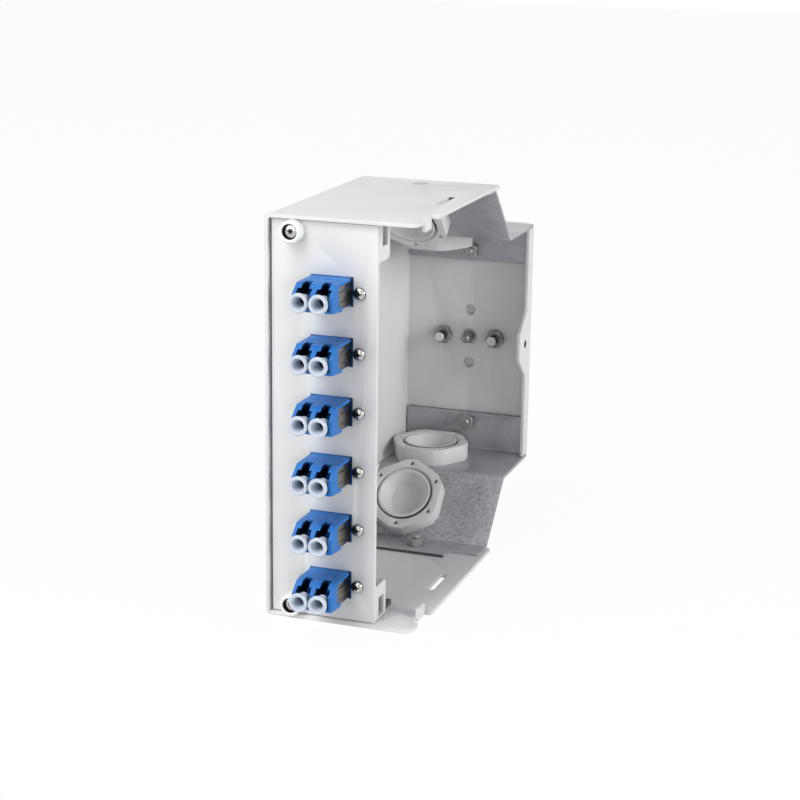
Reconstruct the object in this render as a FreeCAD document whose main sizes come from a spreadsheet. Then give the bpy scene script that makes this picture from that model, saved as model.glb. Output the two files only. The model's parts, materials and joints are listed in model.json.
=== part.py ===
import FreeCAD, Part
import math
import os
import Sketcher
from FreeCAD import Placement, Rotation, Vector

# Fibre distribution box of folded sheet steel for a 35 mm top-hat rail, shown without its side cover.
# Frame: X to the right, Y to the back, Z up. Origin on the underside, in the middle of the bottom plate.
# Every piece is drawn about the middle of the case's height and lifted by half the height at the end.

doc = FreeCAD.newDocument("fibre_distribution_box")

# Driving sizes, in millimetres

SIZES = [
    ("case_height", 130.0, "outside height"),
    ("case_width", 50.0, "outside width"),
    ("case_depth", 134.0, "front edge of the plates to the outside of the back wall"),
    ("case_sheet", 1.2, "thickness of the painted sheet"),
    ("bend_inside", 0.5, "inside radius of every fold"),
    ("step_run", 20.0, "45 degree step at the back, as far along Y as along Z"),
    ("step_setback", 1.5, "rear edge of a plate to the first fold of its gland bracket"),
    ("ledge_margin", 2.15, "locknut's flat to the end of the ledge, on both sides"),
    ("lobe_length", 7.5, "front lobe on the right edge of a plate"),
    ("lobe_inset", 0.9, "tip of the lobe to the plate's full width"),
    ("lobe_radius", 3.0, "front corner of the lobe"),
    ("notch_length", 10.3, "notch behind the lobe, with the tab in it"),
    ("notch_depth", 2.8, "depth of that notch from the plate's full width"),
    ("tab_length", 5.9, "cover tab"),
    ("tab_relief", 3.8, "notch's front end to the tab"),
    ("tab_inset", 2.0, "outer face of the tab to the plate's full width"),
    ("tab_drop", 3.1, "how far the tab stands into the case"),
    ("tab_fold", 0.7, "outer radius of the tab's fold"),
    ("slot_width", 2.2, "slot in a plate"),
    ("slot_length", 15.0, "slot in a plate"),
    ("slot_inset", 6.85, "slot's middle line to the plate's full width"),
    ("slot_behind", 3.2, "slot's middle behind the middle of the plate"),
    ("lip_inset", 1.2, "outer face of the back lip to the plate's full width"),
    ("lip_depth", 7.1, "back lip, from the outside of the back wall to its front edge"),
    ("lip_gap", 0.3, "lip's ends to the ledges of the gland brackets"),
    ("lip_relief", 1.0, "cut-out in the back wall at the ends of the lip's fold"),
    ("ear_reach", 8.6, "how far the lip's ear stands in front of the lip"),
    ("ear_flat", 9.7, "straight part of the lip's ear"),
    ("ear_slope", 7.45, "height of each sloped side of the lip's ear"),
    ("ear_rise", 0.6, "middle of the lip's ear above mid height"),
    ("cover_hole", 2.8, "hole for the cover screw in the lip's ear"),
    ("cover_hole_front", 1.2, "that hole in front of the lip's front edge"),
    ("panel_recess", 1.3, "panel face behind the front edge of the plates"),
    ("panel_sheet", 1.5, "thickness of the front panel"),
    ("panel_margin", 2.7, "adapters' flange to the right edge of the panel"),
    ("panel_side_gap", 0.7, "gap between the panel and the side wall"),
    ("panel_gap", 0.4, "gap between the panel and each plate"),
    ("flap_depth", 10.8, "ear folded back from the panel's right edge"),
    ("flap_height", 11.4, "height of that ear"),
    ("flap_radius", 1.6, "its free corner"),
    ("flap_slot_width", 4.6, "slot in that ear"),
    ("flap_slot_height", 6.4, "slot in that ear"),
    ("flap_slot_front", 4.3, "panel face to the slot"),
    ("flap_slot_end", 0.6, "panel's end to the slot"),
    ("bracket_sheet", 1.0, "thickness of the galvanised sheet"),
    ("bracket_gap", 0.1, "gap between a gland bracket and the folds beside it"),
    ("bracket_front", 13.7, "fold to the front edge of the bracket's flange"),
    ("bracket_cutback", 5.6, "how far the flange steps back at its right end"),
    ("bracket_cut_width", 10.6, "width of that step"),
    ("bracket_right_inset", 1.0, "bracket's right edge to the plate's full width"),
    ("bracket_upstand", 13.9, "ledge to the end of the flange on the back wall"),
    ("bracket_corner", 1.2, "rounding of the flanges' free corners"),
    ("nut_wall_gap", 1.1, "locknut's round corner to the side wall"),
    ("entry_hole", 20.4, "hole for an M20 gland"),
    ("nut_flats", 26.0, "locknut across flats"),
    ("nut_corners", 27.8, "locknut across its rounded corners"),
    ("nut_height", 6.0, "locknut"),
    ("nut_pin_circle", 24.2, "circle of the small holes in the locknut"),
    ("nut_pin_hole", 1.4, "small holes in the locknut"),
    ("nut_pin_depth", 2.5, "small holes in the locknut"),
    ("nut_chamfer", 0.9, "chamfer at the locknut's thread"),
    ("plug_thread", 19.4, "outside of the plug's thread"),
    ("plug_wall", 0.95, "plug wall at its open end"),
    ("plug_cup_depth", 4.4, "depth of the plug's cup"),
    ("plug_cup_round", 0.5, "rounding at the cup's floor"),
    ("plug_cup_floor", 11.2, "diameter of the cup's floor"),
    ("plug_head", 23.6, "diameter of the plug's head"),
    ("plug_head_height", 3.2, "plug's head"),
    ("plug_head_edge", 1.0, "rounding of the plug's head"),
    ("plug_slot_width", 2.0, "coin slot in the plug's head"),
    ("plug_slot_length", 14.0, "coin slot in the plug's head"),
    ("plug_slot_depth", 1.4, "coin slot in the plug's head"),
    ("seal_thickness", 0.8, "ring under the plug's head"),
    ("seal_outside", 23.0, "ring under the plug's head"),
    ("thread_clearance", 0.1, "radial gap between a thread's solid and its nut"),
    ("adapter_count", 6, "rows of duplex adapters"),
    ("adapter_offset", 19.8, "panel's left edge to the adapters' middle"),
    ("row_top_margin", 22.75, "top of the case to the middle of the first row"),
    ("row_bottom_margin", 12.9, "underside of the case to the middle of the last row"),
    ("adapter_width", 13.0, "adapter body"),
    ("adapter_top", 4.8, "top of the body above the ports' axis"),
    ("adapter_bottom", 4.0, "underside below the ports' axis"),
    ("tail_bottom", 4.6, "underside behind the panel below the ports' axis"),
    ("adapter_chin", 3.2, "front end of the underside below the ports' axis"),
    ("adapter_nose", 16.3, "front end of the body in front of the panel face"),
    ("adapter_tail", 20.5, "rear end of the body behind the panel face"),
    ("nose_run", 4.0, "sloped top of the nose, along Y"),
    ("nose_rise", 3.0, "sloped top of the nose, along Z"),
    ("clip_groove_front", 7.9, "groove for the clip under the body, front end"),
    ("clip_groove_rear", 0.6, "groove for the clip under the body, rear end"),
    ("clip_groove_depth", 1.1, "depth of that groove"),
    ("clip_side_front", 10.9, "front end of the clip's side, in front of the panel face"),
    ("clip_side_top", 4.0, "top of the clip's side above the ports' axis"),
    ("clip_side_depth", 0.4, "recess for the clip's side"),
    ("clip_strip", 0.35, "thickness of the clip's spring steel"),
    ("clip_side_below", 2.2, "lower edge of the clip's side below the ports' axis"),
    ("clip_end_gap", 0.1, "gap at the clip's ends in its recess"),
    ("tongue_middle", 0.65, "middle of the tongue above the ports' axis"),
    ("tongue_height", 3.2, "spring tongue of the clip"),
    ("tongue_length", 8.6, "spring tongue of the clip"),
    ("tongue_lift", 0.55, "how far the tongue's free end stands out"),
    ("tongue_slit", 0.3, "slit round the tongue"),
    ("flange_width", 24.0, "adapter flange"),
    ("flange_height", 9.4, "adapter flange"),
    ("flange_thickness", 2.0, "adapter flange"),
    ("adapter_hole_pitch", 18.0, "between the two screws of an adapter"),
    ("cutout_gap", 0.2, "gap above and below the adapter in the panel"),
    ("cutout_side_gap", 0.5, "gap beside the adapter in the panel"),
    ("port_pitch", 6.25, "between the two ports of an adapter"),
    ("port_width", 4.7, "port"),
    ("port_below", 2.35, "port's floor below its axis"),
    ("port_above", 3.5, "port's ceiling above its axis"),
    ("port_depth", 11.3, "port, from either end of the body"),
    ("latch_slot_width", 2.4, "slot for the plug's latch above the port"),
    ("latch_slot_top", 4.3, "ceiling of that slot above the axis"),
    ("latch_slot_depth", 8.0, "that slot, from either end of the body"),
    ("latch_open_depth", 4.7, "where it is open at the top"),
    ("holder_outside", 2.9, "ferrule sleeve holder inside the ports"),
    ("holder_reach", 4.0, "how far the holder stands into a port"),
    ("sleeve_outside", 1.6, "alignment sleeve"),
    ("sleeve_inside", 1.25, "alignment sleeve"),
    ("sleeve_length", 11.4, "alignment sleeve"),
    ("sleeve_clearance", 0.05, "radial gap round the sleeve"),
    ("sleeve_end_gap", 0.15, "gap at each end of the sleeve"),
    ("ferrule_hole", 1.35, "entry to the sleeve"),
    ("cap_outside", 5.9, "dust cap's collar"),
    ("cap_length", 3.6, "dust cap's collar"),
    ("cap_seat_gap", 0.1, "dust cap's collar to the adapter's nose"),
    ("cap_bore", 3.4, "hole in the cap"),
    ("cap_bore_depth", 7.0, "hole in the cap"),
    ("cap_plug_length", 6.3, "square part of the cap inside the port"),
    ("cap_plug_gap", 0.1, "gap between the cap's square part and the port"),
    ("cap_edge", 0.35, "rounding of the collar, bevel of the square part"),
    ("m2_shank", 2.0, "adapter screws"),
    ("m2_head", 3.9, "adapter screws"),
    ("m2_head_height", 1.2, "adapter screws"),
    ("m2_length", 6.0, "adapter screws, under the head"),
    ("m2_nut_flats", 4.0, "nuts behind the adapter flanges"),
    ("m2_nut_height", 1.6, "nuts behind the adapter flanges"),
    ("hole_clearance", 0.1, "radial gap between a screw and its hole"),
    ("collar_inset", 7.2, "captive screw's axis to the panel's left edge"),
    ("collar_edge_gap", 0.1, "collar's flat to the plate beside it"),
    ("collar_flat", 0.3, "how much is cut off the collar towards the plate"),
    ("collar_outside", 7.6, "collar of the captive screw"),
    ("collar_height", 3.8, "how far the collar stands in front of the panel"),
    ("collar_neck", 5.0, "neck of the collar in the panel"),
    ("collar_taper", 0.35, "how much thinner the collar's front is, on the radius"),
    ("collar_recess", 4.9, "recess for the screw head"),
    ("collar_recess_depth", 2.8, "recess for the screw head"),
    ("collar_edge", 0.8, "rounding of the collar"),
    ("m3_shank", 3.0, "captive screws"),
    ("m3_head", 4.3, "captive screw head"),
    ("m3_edge", 0.4, "rounding of that head"),
    ("m3_head_height", 1.6, "captive screw head"),
    ("captive_length", 7.0, "captive screw, under the head"),
    ("angle_sheet", 1.5, "screw bracket"),
    ("angle_depth", 17.5, "screw bracket's leg on the plate"),
    ("angle_ear_gap", 0.3, "screw bracket to the panel's ear, beside it"),
    ("angle_tongue", 0.8, "tongue at the right end of the screw bracket"),
    ("angle_tongue_gap", 0.6, "panel's ear to that tongue, behind it"),
    ("angle_leg_width", 11.0, "screw bracket's leg behind the panel"),
    ("angle_leg_height", 4.7, "screw bracket's leg behind the panel, under the other leg"),
    ("angle_left_gap", 0.4, "screw bracket to the fold beside it"),
    ("middle_x", 0.4, "middle line of the back wall's studs and of the rail clip"),
    ("plate_stud_x", -0.05, "middle of a plate's stud"),
    ("plate_stud_inset", 7.6, "plate's rear edge to its stud"),
    ("wall_stud_drop", 10.3, "ledge to the back wall's stud"),
    ("stud_shank", 3.0, "bracket studs"),
    ("stud_head", 5.8, "flush head of a stud"),
    ("stud_head_height", 0.6, "flush head of a stud"),
    ("stud_length", 5.6, "stud, from the outer face of its sheet"),
    ("stud_point", 0.4, "bevel at the end of studs and bolts"),
    ("stud_nut_flats", 5.5, "nuts on the studs"),
    ("stud_nut_height", 2.4, "nuts on the studs"),
    ("rail_height", 35.0, "top-hat rail"),
    ("hook_round", 1.2, "outside of the hooks' folds"),
    ("rail_groove", 1.9, "groove behind the clip for the rail's edge"),
    ("rail_overlap", 2.9, "how far a hook reaches over the rail's edge"),
    ("rail_play", 0.5, "rail's upper edge to the bottom of the fixed groove"),
    ("clip_sheet", 2.0, "rail clip's plate"),
    ("clip_width", 30.0, "rail clip"),
    ("clip_tail_end", 1.5, "lower end of the clip's plate below its spring tab"),
    ("latch_sheet", 1.6, "sliding latch"),
    ("latch_gap", 0.2, "gap between the latch and the clip's plate"),
    ("latch_width", 26.0, "sliding latch"),
    ("latch_lug", 4.5, "how far the latch stands out below the clip's plate"),
    ("latch_rest", 0.5, "how far the latch stands past the rail's lower edge at rest"),
    ("latch_travel", 4.0, "travel of the latch"),
    ("rivet_shank", 4.0, "shoulder rivets that guide the latch"),
    ("rivet_head", 7.0, "shoulder rivets that guide the latch"),
    ("rivet_head_height", 1.2, "shoulder rivets that guide the latch"),
    ("rivet_spacing", 17.0, "between the two shoulder rivets"),
    ("rivet_drop", 13.5, "shoulder rivets below the rail's lower edge"),
    ("spring_tab_width", 6.0, "tab that the spring stands on"),
    ("spring_tab_drop", 15.5, "top of that tab below the rail's lower edge"),
    ("spring_tab_reach", 4.0, "how far the tab stands back from the plate"),
    ("spring_window", 8.0, "width of the window in the latch for the spring"),
    ("spring_length", 8.5, "spring at rest"),
    ("spring_outside", 3.6, "spring"),
    ("spring_wire", 0.6, "spring"),
    ("spring_turns", 6, "spring"),
    ("screwdriver_slot", 5.0, "slot in the latch's tail"),
    ("bolt_spacing", 20.0, "clip bolts, and the two spare holes above and below"),
    ("bolt_hole", 4.0, "holes for the clip bolts"),
    ("bolt_shank", 3.5, "clip bolts"),
    ("bolt_head", 7.0, "countersunk head of the clip bolts"),
    ("bolt_head_height", 1.75, "countersunk head of the clip bolts"),
    ("bolt_reach", 6.0, "clip bolts, inside the back wall"),
    ("bolt_nut_flats", 6.0, "nuts on the clip bolts"),
    ("bolt_nut_height", 2.8, "nuts on the clip bolts"),
    ("pin_hole", 5.4, "middle hole in the back wall"),
    ("pin_outside", 3.4, "pin of the clip in that hole"),
    ("pin_round", 1.2, "rounding of that pin's end"),
    ("pin_reach", 6.0, "that pin, inside the back wall"),
]

# Places that follow from the sizes

PLACES = [
    ("half_height", "Size.case_height / 2"),
    ("half_width", "Size.case_width / 2"),
    ("plate_inner", "half_height - Size.case_sheet"),
    ("wall_inner", "Size.case_sheet - half_width"),
    ("ledge_length", "Size.nut_flats + 2 * Size.ledge_margin"),
    ("step_length", "Size.step_run - Size.step_setback + ledge_length + Size.bracket_sheet + Size.case_sheet"),
    ("plate_depth", "Size.case_depth - step_length"),
    ("plate_front", "-plate_depth / 2"),
    ("plate_rear", "plate_depth / 2"),
    ("back_outer", "plate_front + Size.case_depth"),
    ("back_inner", "back_outer - Size.case_sheet"),
    ("bend_outside", "Size.bend_inside + Size.case_sheet"),
    ("bracket_bend", "Size.bend_inside + Size.bracket_sheet"),
    ("bracket_inner", "plate_inner - Size.bracket_sheet"),
    ("bracket_left", "wall_inner + Size.bend_inside + Size.bracket_gap"),
    ("bracket_right", "half_width - Size.bracket_right_inset"),
    ("fold_y", "plate_rear - Size.step_setback"),
    ("step_y", "fold_y + Size.step_run"),
    ("bracket_front", "fold_y - Size.bracket_front"),
    ("ledge", "bracket_inner - Size.step_run"),
    ("ledge_outer", "ledge + Size.bracket_sheet"),
    ("mitre", "Size.bracket_sheet * (sqrt(2) - 1)"),
    ("wall_corner", "bracket_inner - Size.step_setback + Size.bracket_sheet * sqrt(2)"),
    ("bracket_back", "back_inner - Size.bracket_sheet"),
    ("bracket_tip", "ledge - Size.bracket_upstand"),
    ("wall_stud", "ledge - Size.wall_stud_drop"),
    ("gland_x", "wall_inner + Size.nut_corners / 2 + Size.nut_wall_gap"),
    ("facet_y", "(fold_y + step_y) / 2"),
    ("facet_z", "(bracket_inner + ledge) / 2"),
    ("ledge_middle", "(step_y + bracket_back) / 2"),
    ("lip_outer", "half_width - Size.lip_inset"),
    ("lip_inner", "lip_outer - Size.case_sheet"),
    ("lip_front", "back_outer - Size.lip_depth"),
    ("lip_end", "ledge - Size.lip_gap"),
    ("corner_left", "lip_inner - Size.bend_inside - Size.bracket_gap"),
    ("ear_front", "lip_front - Size.ear_reach"),
    ("notch_front", "plate_front + Size.lobe_length"),
    ("notch_rear", "notch_front + Size.notch_length"),
    ("tab_front", "notch_front + Size.tab_relief"),
    ("tab_outer", "half_width - Size.tab_inset"),
    ("panel_face", "plate_front + Size.panel_recess"),
    ("panel_back", "panel_face + Size.panel_sheet"),
    ("panel_left", "wall_inner + Size.panel_side_gap"),
    ("adapter_x", "panel_left + Size.adapter_offset"),
    ("panel_right", "adapter_x + Size.flange_width / 2 + Size.panel_margin"),
    ("panel_end", "plate_inner - Size.panel_gap"),
    ("ear_back", "panel_face + Size.flap_depth"),
    ("rows_height", "Size.case_height - Size.row_top_margin - Size.row_bottom_margin"),
    ("row_pitch", "rows_height / (Size.adapter_count - 1)"),
    ("top_row", "half_height - Size.row_top_margin"),
    ("flange_back", "Size.panel_sheet + Size.flange_thickness"),
    ("wall_front", "Size.port_depth - Size.adapter_nose"),
    ("wall_rear", "Size.adapter_tail - Size.port_depth"),
    ("sleeve_middle", "(wall_front + wall_rear) / 2"),
    ("clip_outer", "Size.adapter_width / 2 - Size.clip_side_depth + Size.clip_strip"),
    ("clip_rear", "Size.clip_groove_rear + Size.clip_end_gap"),
    ("collar_x", "panel_left + Size.collar_inset"),
    ("collar_top", "plate_inner - Size.collar_edge_gap"),
    ("collar_z", "collar_top + Size.collar_flat - Size.collar_outside / 2"),
    ("angle_inner", "plate_inner - Size.angle_sheet"),
    ("angle_left", "wall_inner + Size.bend_inside + Size.angle_left_gap"),
    ("angle_right", "panel_right - Size.panel_sheet - Size.angle_ear_gap"),
    ("plate_stud_y", "plate_rear - Size.plate_stud_inset"),
    ("rail_half", "Size.rail_height / 2"),
    ("clip_back", "back_outer + Size.clip_sheet"),
    ("latch_front", "clip_back + Size.latch_gap"),
    ("latch_back", "latch_front + Size.latch_sheet"),
    ("hook_front", "clip_back + Size.rail_groove"),
    ("hook_back", "hook_front + Size.clip_sheet"),
    ("hook_roof", "rail_half + Size.rail_play"),
    ("latch_shoulder", "rail_half - Size.latch_rest"),
    ("rivet_z", "-(rail_half + Size.rivet_drop)"),
    ("spring_z", "-(rail_half + Size.spring_tab_drop)"),
    ("spring_y", "clip_back + Size.latch_gap + Size.spring_outside / 2"),
    ("clip_end", "spring_z - Size.clip_sheet - Size.clip_tail_end"),
    ("latch_end", "clip_end - Size.latch_lug"),
]


def make_sheet(name, rows):
    """A spreadsheet with a name, a value and a note in each row."""
    sheet = doc.addObject("Spreadsheet::Sheet", name)
    for number, row in enumerate(rows, start=1):
        sheet.set("A%d" % number, row[0])
        sheet.set("B%d" % number, str(row[1]))
        sheet.setAlias("B%d" % number, row[0])
        for note in row[2:]:
            sheet.set("C%d" % number, note)
    doc.recompute()
    return sheet


size = make_sheet("Size", SIZES)
place = make_sheet("Place", [(name, "=" + formula) for name, formula in PLACES])


def value(expression):
    """The number that an expression stands for now."""
    return float(size.evalExpression(expression))


AXIS_X = Vector(1, 0, 0)
AXIS_Y = Vector(0, 1, 0)
AXIS_Z = Vector(0, 0, 1)
SIDES = (("upper", 1), ("lower", -1))
MIDDLE = "Size.middle_x"
PLATE_STUD = ("Size.plate_stud_x", "Place.plate_stud_y")
ROWS = int(value("Size.adapter_count"))
pieces = []


# Sketches, each point bound to the sheets

def origin_part(body, role):
    return next(item for item in body.Origin.OriginFeatures if item.Role == role)


def start_sketch(body, name, role, lift="0", x="0", y="0", turn=0):
    """An empty sketch on one of the body's own planes, lifted off it, moved along it, turned about X."""
    sketch = body.newObject("Sketcher::SketchObject", name)
    sketch.AttachmentSupport = [(origin_part(body, role), "")]
    sketch.MapMode = "FlatFace"
    sketch.AttachmentOffset = Placement(Vector(), Rotation(AXIS_X, turn))
    for letter, amount in (("x", x), ("y", y), ("z", lift)):
        if amount != "0":
            sketch.setExpression("AttachmentOffset.Base." + letter, amount)
    return sketch


def pin_point(sketch, geometry, point, x, y):
    """Holds one point of the sketch at two expressions."""
    for kind, expression in (("DistanceX", x), ("DistanceY", y)):
        constraint = Sketcher.Constraint(kind, -1, 1, geometry, point, value(expression))
        index = sketch.addConstraint(constraint)
        sketch.setExpression("Constraints[%d]" % index, expression)


def add_outline(sketch, corners):
    """A closed outline of straight runs through the given corners."""
    first = sketch.GeometryCount
    count = len(corners)
    points = [Vector(value(x), value(y), 0) for x, y in corners]
    for i in range(count):
        sketch.addGeometry(Part.LineSegment(points[i], points[(i + 1) % count]), False)
    for i in range(count):
        sketch.addConstraint(Sketcher.Constraint("Coincident", first + i, 2, first + (i + 1) % count, 1))
    for i, (x, y) in enumerate(corners):
        pin_point(sketch, first + i, 1, x, y)


def add_circle(sketch, x, y, diameter):
    circle = Part.Circle(Vector(value(x), value(y), 0), Vector(0, 0, 1), value(diameter) / 2)
    geometry = sketch.addGeometry(circle, False)
    pin_point(sketch, geometry, 3, x, y)
    index = sketch.addConstraint(Sketcher.Constraint("Diameter", geometry, value(diameter)))
    sketch.setExpression("Constraints[%d]" % index, diameter)


def outline(body, name, role, corners, lift="0"):
    sketch = start_sketch(body, name, role, lift)
    add_outline(sketch, corners)
    return sketch


def rectangle(body, name, role, low, high, lift="0"):
    corners = [(low[0], low[1]), (high[0], low[1]), (high[0], high[1]), (low[0], high[1])]
    return outline(body, name, role, corners, lift)


def circles(body, name, role, items, lift="0"):
    sketch = start_sketch(body, name, role, lift)
    for x, y, diameter in items:
        add_circle(sketch, x, y, diameter)
    return sketch


# Features

def pad(body, sketch, length, back=False):
    feature = body.newObject("PartDesign::Pad", sketch.Name + "_pad")
    feature.Profile = sketch
    feature.setExpression("Length", length)
    feature.Reversed = back
    doc.recompute()
    return feature


def pocket(body, sketch, depth, back=False):
    """A cut that goes against the sketch's normal, or along it when back is true."""
    before = body.Shape.Volume
    feature = body.newObject("PartDesign::Pocket", sketch.Name + "_pocket")
    feature.Profile = sketch
    feature.setExpression("Length", depth)
    feature.Reversed = back
    doc.recompute()
    if body.Shape.Volume >= before:
        raise ValueError("%s cuts nothing" % feature.Name)
    return feature


def turned(body, name, role, corners, lift="0", x="0", cut=False):
    """A half section turned about the sketch's upright axis, added or cut away."""
    before = body.Shape.Volume if cut else 0
    sketch = start_sketch(body, name, role, lift, x)
    add_outline(sketch, corners)
    kind = "Groove" if cut else "Revolution"
    feature = body.newObject("PartDesign::" + kind, name + "_turn")
    feature.Profile = sketch
    feature.ReferenceAxis = (sketch, ["V_Axis"])
    feature.Angle = 360
    doc.recompute()
    if cut and body.Shape.Volume >= before:
        raise ValueError("%s cuts nothing" % feature.Name)
    return feature


def polar(body, features, role, count):
    pattern = body.newObject("PartDesign::PolarPattern", features[0].Name + "_ring")
    pattern.Originals = features
    pattern.Axis = (origin_part(body, role), [""])
    pattern.Angle = 360
    pattern.Occurrences = count
    body.Tip = pattern
    doc.recompute()


def mirror(body, features, role):
    copy = body.newObject("PartDesign::Mirrored", features[0].Name + "_mirror")
    copy.Originals = features
    copy.MirrorPlane = (origin_part(body, role), [""])
    body.Tip = copy
    doc.recompute()
    return copy


def down_rows(body, features):
    """Repeats what is drawn at the top row in every row below it."""
    rows = body.newObject("PartDesign::LinearPattern", features[0].Name + "_rows")
    rows.Originals = features
    rows.Direction = (origin_part(body, "Z_Axis"), [""])
    rows.Reversed = True
    rows.Mode = "Spacing"
    rows.setExpression("Offset", "Place.row_pitch")
    rows.setExpression("Occurrences", "Size.adapter_count")
    body.Tip = rows
    doc.recompute()


def dress(body, kind, name, amount, tests):
    """A fillet or chamfer on the edges of the present shape that pass one of the tests."""
    base = body.Tip
    edges = enumerate(base.Shape.Edges, start=1)
    names = ["Edge%d" % number for number, edge in edges if any(test(edge) for test in tests)]
    if len(names) < len(tests):
        raise ValueError("%s finds %d edges" % (name, len(names)))
    feature = body.newObject("PartDesign::" + kind, name)
    feature.Base = (base, names)
    feature.setExpression("Radius" if kind == "Fillet" else "Size", amount)
    body.Tip = feature
    doc.recompute()
    return feature


def along(edge, axis):
    """True for a straight edge that runs along the given axis."""
    if edge.Curve.TypeId != "Part::GeomLine":
        return False
    return abs(abs(edge.Curve.Direction.dot(axis)) - 1) < 1e-6


def edge_at(axis, **where):
    """A test for straight edges along an axis whose middle has the given coordinates."""
    def test(edge):
        middle = edge.CenterOfMass
        return along(edge, axis) and all(abs(getattr(middle, k) - value(v)) < 0.01 for k, v in where.items())
    return test


def circle_at(axis, radius, **where):
    """A test for full circles round an axis, by radius and by the coordinates of their middle."""
    def test(edge):
        if edge.Curve.TypeId != "Part::GeomCircle" or abs(abs(edge.Curve.Axis.dot(axis)) - 1) > 1e-6:
            return False
        if abs(edge.Curve.Radius - value(radius)) > 0.01:
            return False
        return all(abs(getattr(edge.Curve.Center, k) - value(v)) < 0.01 for k, v in where.items())
    return test


def row_height(row):
    """Height of a row's ports above mid height, counted from the top."""
    return "(Place.top_row - %d * Place.row_pitch)" % row


def hexagon(flats, x, y, upright=False):
    """Corners of a hexagon with two flats along the sketch's X, or along its Y where upright."""
    wide = "%s / sqrt(3)" % flats
    near = "%s / sqrt(12)" % flats
    half = "%s / 2" % flats
    steps = [("+", wide, "+", "0"), ("+", near, "+", half), ("-", near, "+", half)]
    steps += [("-", wide, "+", "0"), ("-", near, "-", half), ("+", near, "-", half)]
    if upright:
        steps = [(b, dy, a, dx) for a, dx, b, dy in steps]
    return [("%s %s %s" % (x, a, dx), "%s %s %s" % (y, b, dy)) for a, dx, b, dy in steps]


def cable_entries(side):
    """Each entry of a gland bracket: name, middle of its hole, and turn about X of its inward normal."""
    facet_turn, ledge_turn = (45, 0) if side < 0 else (135, 180)
    facet = ("facet", "Place.facet_y", "%d * Place.facet_z" % side, facet_turn)
    ledge = ("ledge", "Place.ledge_middle", "%d * Place.ledge" % side, ledge_turn)
    return [facet, ledge]


def new_body(label):
    body = doc.addObject("PartDesign::Body", label)
    body.Label = label
    return body


def nut_turn(name, turn):
    """A locknut's rotation: flats sideways on the facet, to the front on the ledge."""
    spin = 30 if name == "ledge" else 0
    return Rotation(AXIS_X, turn).multiply(Rotation(AXIS_Z, spin))


def finish(piece, x="0", y="0", z="0", turn=0):
    """Puts a piece at its place, given about mid height, and lists it for export."""
    rotation = turn if isinstance(turn, Rotation) else Rotation(AXIS_X, turn)
    piece.Placement = Placement(Vector(), rotation)
    piece.setExpression("Placement.Base.x", x)
    piece.setExpression("Placement.Base.y", y)
    piece.setExpression("Placement.Base.z", "Place.half_height + (%s)" % z)
    doc.recompute()
    pieces.append(piece)


# Housing: side wall, two plates, back wall and lip, folded from one sheet

def housing_plate(body, word, side):
    """Top or bottom plate, with the lobe at the front and the notch behind it."""
    corners = [
        ("-Place.half_width", "Place.plate_front"),
        ("Place.half_width - Size.lobe_inset", "Place.plate_front"),
        ("Place.half_width - Size.lobe_inset", "Place.notch_front"),
        ("Place.half_width - Size.notch_depth", "Place.notch_front"),
        ("Place.half_width - Size.notch_depth", "Place.notch_rear"),
        ("Place.half_width", "Place.notch_rear"),
        ("Place.half_width", "Place.plate_rear"),
        ("-Place.half_width", "Place.plate_rear"),
    ]
    plate = outline(body, word + "_plate", "XY_Plane", corners, "%d * Place.half_height" % side)
    pad(body, plate, "Size.case_sheet", back=side > 0)
    low = ("Place.tab_front", "%d * (Place.plate_inner - Size.tab_drop)" % side)
    high = ("Place.tab_front + Size.tab_length", "%d * Place.half_height" % side)
    tab = rectangle(body, word + "_tab", "YZ_Plane", low, high, "Place.tab_outer - Size.case_sheet")
    pad(body, tab, "Size.case_sheet")


def housing_lip():
    """Side view of the lip with its ear."""
    foot = "(Size.ear_flat / 2 + Size.ear_slope)"
    return [
        ("Place.lip_front", "-Place.lip_end"),
        ("Place.back_outer", "-Place.lip_end"),
        ("Place.back_outer", "Place.lip_end"),
        ("Place.lip_front", "Place.lip_end"),
        ("Place.lip_front", "Size.ear_rise + " + foot),
        ("Place.ear_front", "Size.ear_rise + Size.ear_flat / 2"),
        ("Place.ear_front", "Size.ear_rise - Size.ear_flat / 2"),
        ("Place.lip_front", "Size.ear_rise - " + foot),
    ]


def housing_side():
    """Side view of the left wall, stepped at the back to follow the gland brackets."""
    upper = [
        ("Place.plate_front", "Place.half_height"),
        ("Place.plate_rear", "Place.half_height"),
        ("Place.plate_rear", "Place.wall_corner"),
        ("Place.step_y + Place.mitre", "Place.ledge_outer"),
        ("Place.back_outer", "Place.ledge_outer"),
    ]
    lower = [(y, "-(" + z + ")") for y, z in reversed(upper)]
    return upper + lower


def housing_back():
    """Front view of the back wall, relieved at the ends of the lip's fold."""
    relief = "Place.lip_inner - Size.lip_relief"
    upper = [
        ("-Place.half_width", "Place.ledge_outer"),
        (relief, "Place.ledge_outer"),
        (relief, "Place.lip_end"),
        ("Place.lip_outer", "Place.lip_end"),
    ]
    lower = [(x, "-(" + z + ")") for x, z in reversed(upper)]
    return upper + lower


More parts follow.
